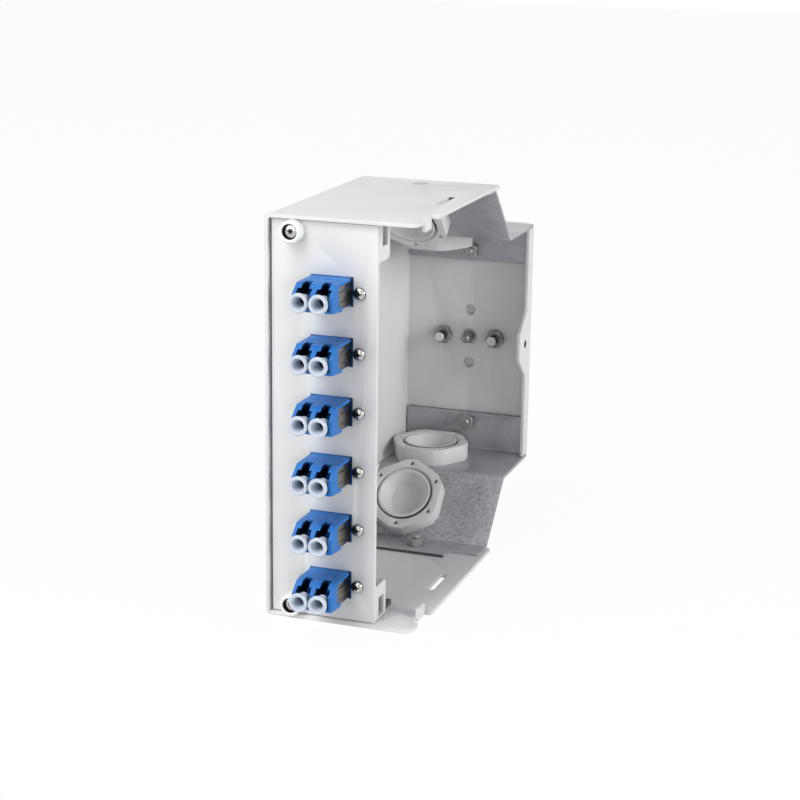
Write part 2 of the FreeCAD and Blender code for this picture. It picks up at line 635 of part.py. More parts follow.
def housing_folds(body):
    outside = [edge_at(AXIS_Z, x="-Place.half_width", y="Place.back_outer")]
    outside.append(edge_at(AXIS_Z, x="Place.lip_outer", y="Place.back_outer"))
    inside = [edge_at(AXIS_Z, x="Place.wall_inner", y="Place.back_inner")]
    inside.append(edge_at(AXIS_Z, x="Place.lip_inner", y="Place.back_inner"))
    tabs = []
    lobes = []
    for word, side in SIDES:
        outer = "%d * Place.half_height" % side
        inner = "%d * Place.plate_inner" % side
        outside.append(edge_at(AXIS_Y, x="-Place.half_width", z=outer))
        inside.append(edge_at(AXIS_Y, x="Place.wall_inner", z=inner))
        tabs.append(edge_at(AXIS_Y, x="Place.tab_outer", z=outer))
        lobes.append(edge_at(AXIS_Z, x="Place.half_width - Size.lobe_inset", y="Place.plate_front"))
    dress(body, "Fillet", "inside_folds", "Size.bend_inside", inside)
    dress(body, "Fillet", "outside_folds", "Place.bend_outside", outside)
    dress(body, "Fillet", "tab_folds", "Size.tab_fold", tabs)
    dress(body, "Fillet", "lobe_corners", "Size.lobe_radius", lobes)


def housing_plate_holes(body, word, side):
    """Slot, stud hole and the stud's flush seat in one plate."""
    outer = "%d * Place.half_height" % side
    middle = "Place.half_width - Size.slot_inset"
    low = (middle + " - Size.slot_width / 2", "Size.slot_behind - Size.slot_length / 2")
    high = (middle + " + Size.slot_width / 2", "Size.slot_behind + Size.slot_length / 2")
    slot = rectangle(body, word + "_slot", "XY_Plane", low, high, outer)
    pocket(body, slot, "Size.case_sheet", back=side < 0)
    hole = circles(body, word + "_stud_hole", "XY_Plane", [PLATE_STUD + ("Size.stud_shank",)], outer)
    pocket(body, hole, "Size.case_sheet", back=side < 0)
    seat = circles(body, word + "_stud_seat", "XY_Plane", [PLATE_STUD + ("Size.stud_head",)], outer)
    pocket(body, seat, "Size.stud_head_height", back=side < 0)


def make_housing():
    body = new_body("housing")
    pad(body, outline(body, "side", "YZ_Plane", housing_side(), "-Place.half_width"), "Size.case_sheet")
    for word, side in SIDES:
        housing_plate(body, word, side)
    pad(body, outline(body, "back", "XZ_Plane", housing_back(), "-Place.back_outer"), "Size.case_sheet")
    pad(body, outline(body, "lip", "YZ_Plane", housing_lip(), "Place.lip_inner"), "Size.case_sheet")
    housing_folds(body)
    for word, side in SIDES:
        housing_plate_holes(body, word, side)
    spacing = "Size.bolt_spacing / 2"
    holes = [
        (MIDDLE + " - " + spacing, "0", "Size.bolt_hole"),
        (MIDDLE + " + " + spacing, "0", "Size.bolt_hole"),
        (MIDDLE, spacing, "Size.bolt_hole"),
        (MIDDLE, "-" + spacing, "Size.bolt_hole"),
        (MIDDLE, "0", "Size.pin_hole"),
        (MIDDLE, "Place.wall_stud", "Size.stud_shank"),
        (MIDDLE, "-Place.wall_stud", "Size.stud_shank"),
    ]
    back_holes = circles(body, "back_holes", "XZ_Plane", holes, "-Place.back_outer")
    pocket(body, back_holes, "Size.case_sheet", back=True)
    seats = [(MIDDLE, sign + "Place.wall_stud", "Size.stud_head") for sign in ("", "-")]
    back_seats = circles(body, "back_seats", "XZ_Plane", seats, "-Place.back_outer")
    pocket(body, back_seats, "Size.stud_head_height", back=True)
    cover = [("Place.lip_front - Size.cover_hole_front", "Size.ear_rise", "Size.cover_hole")]
    pocket(body, circles(body, "cover_screw_hole", "YZ_Plane", cover, "Place.lip_outer"), "Size.case_sheet")
    finish(body)


# Front panel with its two folded ears

def make_front_panel():
    body = new_body("front_panel")
    low = ("Place.panel_left", "-Place.panel_end")
    high = ("Place.panel_right", "Place.panel_end")
    face = rectangle(body, "panel", "XZ_Plane", low, high, "-Place.panel_face")
    pad(body, face, "Size.panel_sheet", back=True)
    ear_foot = "(Place.panel_end - Size.flap_height)"
    corners = []
    for word, side in SIDES:
        low = ("Place.panel_face", "%d * %s" % (side, ear_foot))
        high = ("Place.ear_back", "%d * Place.panel_end" % side)
        ear = rectangle(body, word + "_ear", "YZ_Plane", low, high, "Place.panel_right - Size.panel_sheet")
        pad(body, ear, "Size.panel_sheet")
        corners.append(edge_at(AXIS_X, y="Place.ear_back", z="%d * %s" % (side, ear_foot)))
    dress(body, "Fillet", "ear_corners", "Size.flap_radius", corners)
    for word, side in SIDES:
        front = "Place.panel_face + Size.flap_slot_front"
        end = "(Place.panel_end - Size.flap_slot_end)"
        low = (front, "%d * (%s - Size.flap_slot_height)" % (side, end))
        high = (front + " + Size.flap_slot_width", "%d * %s" % (side, end))
        slot = rectangle(body, word + "_ear_slot", "YZ_Plane", low, high, "Place.panel_right")
        pocket(body, slot, "Size.panel_sheet")
    cut = start_sketch(body, "adapter_cutouts", "XZ_Plane", "-Place.panel_face")
    half = "(Size.adapter_width / 2 + Size.cutout_side_gap)"
    for row in range(ROWS):
        middle = row_height(row)
        left = "Place.adapter_x - " + half
        right = "Place.adapter_x + " + half
        bottom = middle + " - Size.adapter_bottom - Size.cutout_gap"
        top = middle + " + Size.adapter_top + Size.cutout_gap"
        add_outline(cut, [(left, bottom), (right, bottom), (right, top), (left, top)])
        for sign in ("+", "-"):
            screw_x = "Place.adapter_x %s Size.adapter_hole_pitch / 2" % sign
            add_circle(cut, screw_x, middle, "Size.m2_shank + 2 * Size.hole_clearance")
    for word, side in SIDES:
        neck = "Size.collar_neck + 2 * Size.hole_clearance"
        add_circle(cut, "Place.collar_x", "%d * Place.collar_z" % side, neck)
    pocket(body, cut, "Size.panel_sheet")
    finish(body)


# Screw brackets: angles welded to the plates, tapped for the captive screws

def make_screw_bracket(word, side):
    body = new_body(word + "_screw_bracket")
    corners = [
        ("Place.angle_left", "Place.panel_back"),
        ("Place.angle_right", "Place.panel_back"),
        ("Place.angle_right", "Place.ear_back + Size.angle_tongue_gap"),
        ("Place.angle_right + Size.angle_tongue", "Place.ear_back + Size.angle_tongue_gap"),
        ("Place.angle_right + Size.angle_tongue", "Place.panel_back + Size.angle_depth"),
        ("Place.angle_left", "Place.panel_back + Size.angle_depth"),
    ]
    leg = outline(body, word + "_leg", "XY_Plane", corners, "%d * Place.plate_inner" % side)
    pad(body, leg, "Size.angle_sheet", back=side > 0)
    low = ("Place.angle_left", "%d * (Place.angle_inner - Size.angle_leg_height)" % side)
    high = ("Place.angle_left + Size.angle_leg_width", "%d * Place.plate_inner" % side)
    front = rectangle(body, word + "_front", "XZ_Plane", low, high, "-Place.panel_back")
    pad(body, front, "Size.angle_sheet", back=True)
    fold = edge_at(AXIS_X, y="Place.panel_back + Size.angle_sheet", z="%d * Place.angle_inner" % side)
    dress(body, "Fillet", word + "_fold", "Size.bend_inside", [fold])
    thread = [("Place.collar_x", "%d * Place.collar_z" % side, "Size.m3_shank + 2 * Size.thread_clearance")]
    pocket(body, circles(body, word + "_thread", "XZ_Plane", thread, "-Place.panel_back"), "Size.angle_sheet")
    finish(body)


# Gland brackets: galvanised sheet folded round the cable entries

def bracket_side(side):
    """Side view of the folded sheet, inner line first and outer line back."""
    inner = [
        ("Place.bracket_front", "Place.bracket_inner"),
        ("Place.fold_y", "Place.bracket_inner"),
        ("Place.step_y", "Place.ledge"),
        ("Place.bracket_back", "Place.ledge"),
        ("Place.bracket_back", "Place.bracket_tip"),
    ]
    outer = [
        ("Place.back_inner", "Place.bracket_tip"),
        ("Place.back_inner", "Place.ledge_outer"),
        ("Place.step_y + Place.mitre", "Place.ledge_outer"),
        ("Place.fold_y + Place.mitre", "Place.plate_inner"),
        ("Place.bracket_front", "Place.plate_inner"),
    ]
    return [(y, "%d * (%s)" % (side, z)) for y, z in inner + outer]


def bracket_folds(body, word, side):
    tight = [
        ("Place.fold_y", "Place.bracket_inner"),
        ("Place.bracket_back", "Place.ledge"),
        ("Place.step_y + Place.mitre", "Place.ledge_outer"),
    ]
    wide = [
        ("Place.step_y", "Place.ledge"),
        ("Place.back_inner", "Place.ledge_outer"),
        ("Place.fold_y + Place.mitre", "Place.plate_inner"),
    ]
    for name, places, radius in (("tight", tight, "Size.bend_inside"), ("wide", wide, "Place.bracket_bend")):
        tests = [edge_at(AXIS_X, y=y, z="%d * (%s)" % (side, z)) for y, z in places]
        dress(body, "Fillet", "%s_%s_folds" % (word, name), radius, tests)


def make_gland_bracket(word, side):
    body = new_body(word + "_gland_bracket")
    profile = outline(body, word + "_bracket", "YZ_Plane", bracket_side(side), "Place.bracket_left")
    pad(body, profile, "Place.bracket_right - Place.bracket_left")
    bracket_folds(body, word, side)
    plate = "%d * Place.plate_inner" % side
    low = ("Place.bracket_right - Size.bracket_cut_width", "Place.bracket_front")
    high = ("Place.bracket_right", "Place.bracket_front + Size.bracket_cutback")
    step = rectangle(body, word + "_step", "XY_Plane", low, high, plate)
    pocket(body, step, "Size.bracket_sheet", back=side < 0)
    low = ("Place.corner_left", "%d * Place.bracket_tip" % side)
    high = ("Place.bracket_right", "%d * Place.ledge_outer" % side)
    corner = rectangle(body, word + "_corner", "XZ_Plane", low, high, "-Place.back_inner")
    pocket(body, corner, "Place.bracket_bend", back=True)
    corners = [edge_at(AXIS_Z, x=x, y=y) for x, y in (
        ("Place.bracket_left", "Place.bracket_front"),
        ("Place.bracket_right - Size.bracket_cut_width", "Place.bracket_front"),
        ("Place.bracket_right", "Place.bracket_front + Size.bracket_cutback"),
    )]
    corners += [edge_at(AXIS_Y, x=x, z=low[1]) for x in ("Place.bracket_left", "Place.corner_left")]
    dress(body, "Fillet", word + "_corners", "Size.bracket_corner", corners)
    stud = "Size.stud_shank + 2 * Size.hole_clearance"
    hole = circles(body, word + "_plate_hole", "XY_Plane", [PLATE_STUD + (stud,)], plate)
    pocket(body, hole, "Size.bracket_sheet", back=side < 0)
    middle = (MIDDLE, "%d * Place.wall_stud" % side, stud)
    hole = circles(body, word + "_wall_hole", "XZ_Plane", [middle], "-Place.back_inner")
    pocket(body, hole, "Size.bracket_sheet", back=True)
    for name, y, z, turn in cable_entries(side):
        hole = start_sketch(body, "%s_%s_entry" % (word, name), "XY_Plane", z, "Place.gland_x", y, turn)
        add_circle(hole, "0", "0", "Size.entry_hole")
        pocket(body, hole, "2 * Size.bracket_sheet")
    finish(body)


# Blanking plugs with locknuts and seals, drawn with the bracket's inner face at Z 0

def make_plug(label, place):
    body = new_body(label)
    seat = "-(Size.bracket_sheet + Size.seal_thickness)"
    end = seat + " - Size.plug_head_height"
    floor = "Size.nut_height - Size.plug_cup_depth"
    profile = [
        ("0", end),
        ("Size.plug_head / 2", end),
        ("Size.plug_head / 2", seat),
        ("Size.plug_thread / 2", seat),
        ("Size.plug_thread / 2", "Size.nut_height"),
        ("Size.plug_thread / 2 - Size.plug_wall", "Size.nut_height"),
        ("Size.plug_cup_floor / 2", floor),
        ("0", floor),
    ]
    turned(body, label + "_profile", "XZ_Plane", profile)
    rim = circle_at(AXIS_Z, "Size.plug_head / 2", z=end)
    dress(body, "Fillet", label + "_rim", "Size.plug_head_edge", [rim])
    cup = circle_at(AXIS_Z, "Size.plug_cup_floor / 2", z=floor)
    dress(body, "Fillet", label + "_cup", "Size.plug_cup_round", [cup])
    low = ("-Size.plug_slot_length / 2", "-Size.plug_slot_width / 2")
    high = ("Size.plug_slot_length / 2", "Size.plug_slot_width / 2")
    slot = rectangle(body, label + "_coin_slot", "XY_Plane", low, high, end)
    pocket(body, slot, "Size.plug_slot_depth", back=True)
    finish(body, *place)


def make_locknut(label, place):
    """Round blank with six flats cut off and a small hole near each corner."""
    body = new_body(label)
    pad(body, circles(body, label + "_blank", "XY_Plane", [("0", "0", "Size.nut_corners")]), "Size.nut_height")
    low = ("Size.nut_flats / 2", "-Size.nut_corners / 2")
    high = ("Size.nut_corners", "Size.nut_corners / 2")
    side = rectangle(body, label + "_flat", "XY_Plane", low, high, "Size.nut_height")
    flat = pocket(body, side, "Size.nut_height")
    corner = [("Size.nut_pin_circle / 4 * sqrt(3)", "Size.nut_pin_circle / 4", "Size.nut_pin_hole")]
    dot = circles(body, label + "_dot", "XY_Plane", corner, "Size.nut_height")
    polar(body, [flat, pocket(body, dot, "Size.nut_pin_depth")], "Z_Axis", 6)
    bore = "Size.plug_thread + 2 * Size.thread_clearance"
    thread = circles(body, label + "_thread", "XY_Plane", [("0", "0", bore)], "Size.nut_height")
    pocket(body, thread, "Size.nut_height")
    mouth = circle_at(AXIS_Z, "(%s) / 2" % bore, z="Size.nut_height")
    dress(body, "Chamfer", label + "_mouth", "Size.nut_chamfer", [mouth])
    finish(body, *place)


def make_seal(label, place):
    body = new_body(label)
    inside = "Size.plug_thread + 2 * Size.thread_clearance"
    rings = [("0", "0", "Size.seal_outside"), ("0", "0", inside)]
    ring = circles(body, label + "_ring", "XY_Plane", rings, "-Size.bracket_sheet")
    pad(body, ring, "Size.seal_thickness", back=True)
    finish(body, *place)


# Duplex adapters, drawn with the panel face at Y 0 and the ports' axis at Z 0

def adapter_side():
    """Side view of the adapter's body, with the groove for the clip underneath."""
    return [
        ("-Size.adapter_nose", "-Size.adapter_chin"),
        ("-Size.clip_groove_front", "-Size.adapter_bottom"),
        ("-Size.clip_groove_front", "Size.clip_groove_depth - Size.adapter_bottom"),
        ("-Size.clip_groove_rear", "Size.clip_groove_depth - Size.adapter_bottom"),
        ("-Size.clip_groove_rear", "-Size.adapter_bottom"),
        ("Size.panel_sheet", "-Size.adapter_bottom"),
        ("Size.panel_sheet", "-Size.tail_bottom"),
        ("Size.adapter_tail", "-Size.tail_bottom"),
        ("Size.adapter_tail", "Size.adapter_top"),
        ("Size.nose_run - Size.adapter_nose", "Size.adapter_top"),
        ("-Size.adapter_nose", "Size.adapter_top - Size.nose_rise"),
    ]


def adapter_flange(body, label):
    low = ("-Size.flange_width / 2", "-Size.flange_height / 2")
    high = ("Size.flange_width / 2", "Size.flange_height / 2")
    flange = rectangle(body, label + "_flange", "XZ_Plane", low, high, "-Size.panel_sheet")
    pad(body, flange, "Size.flange_thickness", back=True)
    hole = "Size.m2_shank + 2 * Size.hole_clearance"
    holes = [(sign + "Size.adapter_hole_pitch / 2", "0", hole) for sign in ("", "-")]
    screws = circles(body, label + "_screw_holes", "XZ_Plane", holes, "-Size.panel_sheet")
    pocket(body, screws, "Size.flange_thickness")


def adapter_ports(body, label, end, lift, rear):
    """Two ports with their latch slots, cut from one end of the body."""
    cut = start_sketch(body, "%s_%s_ports" % (label, end), "XZ_Plane", lift)
    latch = start_sketch(body, "%s_%s_latches" % (label, end), "XZ_Plane", lift)
    mouth = start_sketch(body, "%s_%s_mouths" % (label, end), "XZ_Plane", lift)
    half = "Size.port_width / 2"
    slot = "Size.latch_slot_width / 2"
    for sign in ("-", ""):
        middle = sign + "Size.port_pitch / 2"
        left, right = middle + " - " + half, middle + " + " + half
        floor, ceiling = "-Size.port_below", "Size.port_above"
        add_outline(cut, [(left, floor), (right, floor), (right, ceiling), (left, ceiling)])
        left, right = middle + " - " + slot, middle + " + " + slot
        top = "Size.latch_slot_top"
        add_outline(latch, [(left, "0"), (right, "0"), (right, top), (left, top)])
        top = "Size.adapter_top"
        add_outline(mouth, [(left, "0"), (right, "0"), (right, top), (left, top)])
    pocket(body, cut, "Size.port_depth", back=rear)
    pocket(body, latch, "Size.latch_slot_depth", back=rear)
    pocket(body, mouth, "Size.latch_open_depth", back=rear)


def adapter_sleeve_holder(body, label):
    """Tubes that hold the alignment sleeves, bored with a wider middle for the sleeve."""
    spots = [(sign + "Size.port_pitch / 2", "0", "Size.holder_outside") for sign in ("", "-")]
    tubes = circles(body, label + "_holders", "XZ_Plane", spots, "Size.holder_reach - Place.wall_front")
    pad(body, tubes, "Place.wall_rear - Place.wall_front + 2 * Size.holder_reach", back=True)
    half = "(Size.sleeve_length / 2 + Size.sleeve_end_gap)"
    front = "Place.sleeve_middle - " + half
    rear = "Place.sleeve_middle + " + half
    narrow = "Size.ferrule_hole / 2"
    wide = "Size.sleeve_outside / 2 + Size.sleeve_clearance"
    near = "Place.wall_front - Size.holder_reach"
    far = "Place.wall_rear + Size.holder_reach"
    profile = [("0", near), (narrow, near), (narrow, front), (wide, front)]
    profile += [(wide, rear), (narrow, rear), (narrow, far), ("0", far)]
    bore = turned(body, label + "_bore", "XY_Plane", profile, x="Size.port_pitch / 2", cut=True)
    mirror(body, [bore], "YZ_Plane")


def adapter_clip_seat(body, label):
    """Shallow seats in both sides, where the clip's sides lie flush."""
    top = "Size.clip_side_top"
    below = "-Size.clip_side_below - Size.clip_end_gap"
    seat = [
        ("-Size.clip_side_front", top),
        ("-Size.clip_side_front", below),
        ("-Size.clip_groove_front", below),
        ("-Size.clip_groove_front", "-Size.adapter_bottom"),
        ("-Size.clip_groove_rear", "-Size.adapter_bottom"),
        ("-Size.clip_groove_rear", top),
    ]
    sketch = outline(body, label + "_clip_seat", "YZ_Plane", seat, "Size.adapter_width / 2")
    mirror(body, [pocket(body, sketch, "Size.clip_side_depth")], "YZ_Plane")


def make_adapter(label, row):
    body = new_body(label)
    side = outline(body, label + "_side", "YZ_Plane", adapter_side(), "-Size.adapter_width / 2")
    pad(body, side, "Size.adapter_width")
    adapter_flange(body, label)
    adapter_ports(body, label, "front", "Size.adapter_nose", False)
    adapter_ports(body, label, "rear", "-Size.adapter_tail", True)
    adapter_sleeve_holder(body, label)
    adapter_clip_seat(body, label)
    finish(body, "Place.adapter_x", "Place.panel_face", row_height(row))


def make_adapter_clip(label, row):
    """Spring clip bent from strip: a strap in the groove, two sides, a sprung tongue in each."""
    body = new_body(label)
    outer = "Place.clip_outer"
    inner = "Place.clip_outer - Size.clip_strip"
    strap_top = "Size.clip_groove_depth - Size.adapter_bottom"
    front = "Size.clip_end_gap - Size.clip_groove_front"
    low = ("-" + outer, strap_top + " - Size.clip_strip")
    high = (outer, strap_top)
    length = "Size.clip_groove_front - Size.clip_end_gap"
    strap = rectangle(body, label + "_strap", "XZ_Plane", low, high, length)
    pad(body, strap, length + " - Place.clip_rear", back=True)
    edge = "Size.clip_end_gap - Size.clip_side_front"
    top = "Size.clip_side_top - Size.clip_end_gap"
    corners = [
        (edge, top),
        (edge, "-Size.clip_side_below"),
        (front, "-Size.clip_side_below"),
        (front, strap_top + " - Size.clip_strip"),
        ("-Place.clip_rear", strap_top + " - Size.clip_strip"),
        ("-Place.clip_rear", top),
    ]
    side = pad(body, outline(body, label + "_side", "YZ_Plane", corners, inner), "Size.clip_strip")
    half = "(Size.tongue_height / 2 + Size.tongue_slit)"
    low = ("-Place.clip_rear - Size.tongue_length - Size.tongue_slit", "Size.tongue_middle - " + half)
    high = ("-Place.clip_rear - Size.tongue_slit", "Size.tongue_middle + " + half)
    opening = rectangle(body, label + "_window", "YZ_Plane", low, high, outer)
    window = pocket(body, opening, "Size.clip_strip")
    root = "-Place.clip_rear - Size.tongue_length - Size.tongue_slit"
    tip = "-Place.clip_rear - 2 * Size.tongue_slit"
    bent = [
        (inner, root),
        (outer, root),
        (outer + " + Size.tongue_lift", tip),
        (inner + " + Size.tongue_lift", tip),
    ]
    low_side = "Size.tongue_middle - Size.tongue_height / 2"
    tongue = pad(body, outline(body, label + "_tongue", "XY_Plane", bent, low_side), "Size.tongue_height")
    mirror(body, [side, window, tongue], "YZ_Plane")
    finish(body, "Place.adapter_x", "Place.panel_face", row_height(row))


def make_sleeves():
    body = new_body("ferrule_sleeves")
    rings = []
    for sign in ("", "-"):
        middle = sign + "Size.port_pitch / 2"
        rings.append((middle, "Place.top_row", "Size.sleeve_outside"))
        rings.append((middle, "Place.top_row", "Size.sleeve_inside"))
    lift = "Size.sleeve_length / 2 - Place.sleeve_middle"
    tube = pad(body, circles(body, "sleeve_rings", "XZ_Plane", rings, lift), "Size.sleeve_length", back=True)
    down_rows(body, [tube])
    finish(body, "Place.adapter_x", "Place.panel_face")


def make_dust_cap(label, row, sign):
    body = new_body(label)
    back = "-Size.adapter_nose - Size.cap_seat_gap"
    front = back + " - Size.cap_length"
    collar = [("0", front), ("Size.cap_outside / 2", front), ("Size.cap_outside / 2", back), ("0", back)]
    turned(body, label + "_collar", "XY_Plane", collar)
    ends = [circle_at(AXIS_Y, "Size.cap_outside / 2", y=place) for place in (front, back)]
    dress(body, "Fillet", label + "_edges", "Size.cap_edge", ends)
    half = "(Size.port_width / 2 - Size.cap_plug_gap)"
    low = ("-" + half, "Size.cap_plug_gap - Size.port_below")
    high = (half, half)
    plug = rectangle(body, label + "_plug", "XZ_Plane", low, high, "Size.adapter_nose + Size.cap_seat_gap")
    pad(body, plug, "Size.cap_plug_length", back=True)
    tip = back + " + Size.cap_plug_length"
    tests = [edge_at(AXIS_X, y=tip), edge_at(AXIS_Z, y=tip)]
    dress(body, "Chamfer", label + "_tip", "Size.cap_edge", tests)
    mouth = circles(body, label + "_bore", "XZ_Plane", [("0", "0", "Size.cap_bore")], "-(%s)" % front)
    pocket(body, mouth, "Size.cap_bore_depth")
    finish(body, "Place.adapter_x %s Size.port_pitch / 2" % sign, "Place.panel_face", row_height(row))


# Small fasteners

def make_adapter_screws():
    body = new_body("adapter_screws")
    head = "Size.m2_head / 2"
    shank = "Size.m2_shank / 2"
    profile = [("0", "-Size.m2_head_height"), (head, "-Size.m2_head_height"), (head, "0")]
    profile += [(shank, "0"), (shank, "Size.m2_length"), ("0", "Size.m2_length")]
    made = []
    for name, sign in (("right", ""), ("left", "-")):
        spot = {"x": sign + "Size.adapter_hole_pitch / 2", "lift": "Place.top_row"}
        made.append(turned(body, "m2_" + name, "XY_Plane", profile, **spot))
    down_rows(body, made)
    finish(body, "Place.adapter_x", "Place.panel_face")


def make_adapter_nuts():
    body = new_body("adapter_nuts")
    sketch = start_sketch(body, "m2_nuts", "XZ_Plane", "-Place.flange_back")
    for sign in ("", "-"):
        middle = sign + "Size.adapter_hole_pitch / 2"
        add_outline(sketch, hexagon("Size.m2_nut_flats", middle, "Place.top_row"))
        add_circle(sketch, middle, "Place.top_row", "Size.m2_shank + 2 * Size.hole_clearance")
    down_rows(body, [pad(body, sketch, "Size.m2_nut_height", back=True)])
    finish(body, "Place.adapter_x", "Place.panel_face")


def make_collars():
    body = new_body("screw_collars")
    bore = "Size.m3_shank / 2 + Size.hole_clearance"
    floor = "Size.collar_recess_depth - Size.collar_height"
    profile = [
        (bore, floor),
        ("Size.collar_recess / 2", floor),
        ("Size.collar_recess / 2", "-Size.collar_height"),
        ("Size.collar_outside / 2 - Size.collar_taper", "-Size.collar_height"),
        ("Size.collar_outside / 2", "0"),
        ("Size.collar_neck / 2", "0"),
        ("Size.collar_neck / 2", "Size.panel_sheet"),
        (bore, "Size.panel_sheet"),
    ]
    made = turned(body, "collar", "XY_Plane", profile, lift="Place.collar_z")
    front = circle_at(AXIS_Y, "Size.collar_outside / 2 - Size.collar_taper", y="-Size.collar_height")
    edge = dress(body, "Fillet", "collar_edge", "Size.collar_edge", [front])
    low = ("-Size.collar_outside / 2", "Place.collar_top")
    high = ("Size.collar_outside / 2", "Place.collar_top + Size.collar_outside")
    flat = rectangle(body, "collar_flat", "XZ_Plane", low, high, "Size.collar_height")
    cut = pocket(body, flat, "Size.collar_height")
    mirror(body, [made, edge, cut], "XY_Plane")
    finish(body, "Place.collar_x", "Place.panel_face")


def make_captive_screws():
    body = new_body("captive_screws")
    seat = "Size.collar_recess_depth - Size.collar_height"
    front = seat + " - Size.m3_head_height"
    end = seat + " + Size.captive_length"
    profile = [("0", front), ("Size.m3_head / 2", front), ("Size.m3_head / 2", seat)]
    profile += [("Size.m3_shank / 2", seat), ("Size.m3_shank / 2", end), ("0", end)]
    made = turned(body, "captive", "XY_Plane", profile, lift="Place.collar_z")
    rim = circle_at(AXIS_Y, "Size.m3_head / 2", y=front)
    edge = dress(body, "Fillet", "captive_edge", "Size.m3_edge", [rim])
    mirror(body, [made, edge], "XY_Plane")
    finish(body, "Place.collar_x", "Place.panel_face")


def stud_profile(outer, towards):
    """Half section of a clinch stud, from the outer face of its sheet inwards."""
    head = "Size.stud_head / 2"
    shank = "Size.stud_shank / 2"
    seat = "%s %s Size.stud_head_height" % (outer, towards)
    bevel = "%s %s (Size.stud_length - Size.stud_point)" % (outer, towards)
    end = "%s %s Size.stud_length" % (outer, towards)
    tip = "Size.stud_shank / 2 - Size.stud_point"
    return [("0", outer), (head, outer), (head, seat), (shank, seat), (shank, bevel), (tip, end), ("0", end)]


def make_studs():
    body = new_body("bracket_studs")
    plate = turned(body, "plate_stud", "XZ_Plane", stud_profile("Place.half_height", "-"),
                   x=PLATE_STUD[0], lift="-" + PLATE_STUD[1])
    wall = turned(body, "wall_stud", "XY_Plane", stud_profile("Place.back_outer", "-"),
                  x=MIDDLE, lift="Place.wall_stud")
    mirror(body, [plate, wall], "XY_Plane")
    finish(body)


def make_stud_nuts():
    body = new_body("bracket_nuts")
    hole = "Size.stud_shank + 2 * Size.thread_clearance"
    upper = start_sketch(body, "plate_nut", "XY_Plane", "Place.bracket_inner")
    add_outline(upper, hexagon("Size.stud_nut_flats", *PLATE_STUD))
    add_circle(upper, *PLATE_STUD, hole)
    rear = start_sketch(body, "wall_nut", "XZ_Plane", "-Place.bracket_back")
    add_outline(rear, hexagon("Size.stud_nut_flats", MIDDLE, "Place.wall_stud"))
    add_circle(rear, MIDDLE, "Place.wall_stud", hole)
    height = "Size.stud_nut_height"
    made = [pad(body, upper, height, back=True), pad(body, rear, height)]
    mirror(body, made, "XY_Plane")
    finish(body)


# Rail clip behind the back wall: fixed plate with a hook, sprung latch below

def make_clip_base():
    body = new_body("clip_base")
    profile = [
        ("Place.back_outer", "Place.clip_end"),
        ("Place.clip_back", "Place.clip_end"),
        ("Place.clip_back", "Place.hook_roof"),
        ("Place.hook_front", "Place.hook_roof"),
        ("Place.hook_front", "Place.rail_half - Size.rail_overlap"),
        ("Place.hook_back", "Place.rail_half - Size.rail_overlap"),
        ("Place.hook_back", "Place.hook_roof + Size.clip_sheet"),
        ("Place.back_outer", "Place.hook_roof + Size.clip_sheet"),
    ]
    left = "Size.middle_x - Size.clip_width / 2"
    pad(body, outline(body, "clip_side", "YZ_Plane", profile, left), "Size.clip_width")
    roof = edge_at(AXIS_X, y="Place.hook_back", z="Place.hook_roof + Size.clip_sheet")
    dress(body, "Fillet", "hook_fold", "Size.hook_round", [roof])
    half = "Size.spring_tab_width / 2"
    low = (MIDDLE + " - " + half, "Place.spring_z - Size.clip_sheet")
    high = (MIDDLE + " + " + half, "Place.spring_z")
    tab = rectangle(body, "spring_tab", "XZ_Plane", low, high, "-Place.clip_back")
    pad(body, tab, "Size.spring_tab_reach", back=True)
    half = "Size.rivet_spacing / 2"
    hole = "Size.rivet_shank + 2 * Size.hole_clearance"
    holes = [(MIDDLE + sign + half, "Place.rivet_z", hole) for sign in (" + ", " - ")]
    holes.append((MIDDLE, "0", "Size.pin_outside"))
    sketch = circles(body, "clip_holes", "XZ_Plane", holes, "-Place.clip_back")
    pocket(body, sketch, "Size.clip_sheet", back=True)
    gap = " + Size.hole_clearance"
    head = "Size.bolt_head / 2" + gap
    shank = "Size.bolt_shank / 2" + gap
    neck = "Place.clip_back - Size.bolt_head_height"
    seat = [("0", "Place.clip_back"), (head, "Place.clip_back"), (shank, neck)]
    seat += [(shank, "Place.back_outer"), ("0", "Place.back_outer")]
    for name, sign in (("right", "+"), ("left", "-")):
        spot = "Size.middle_x %s Size.bolt_spacing / 2" % sign
        turned(body, "clip_seat_" + name, "XY_Plane", seat, x=spot, cut=True)
    finish(body)


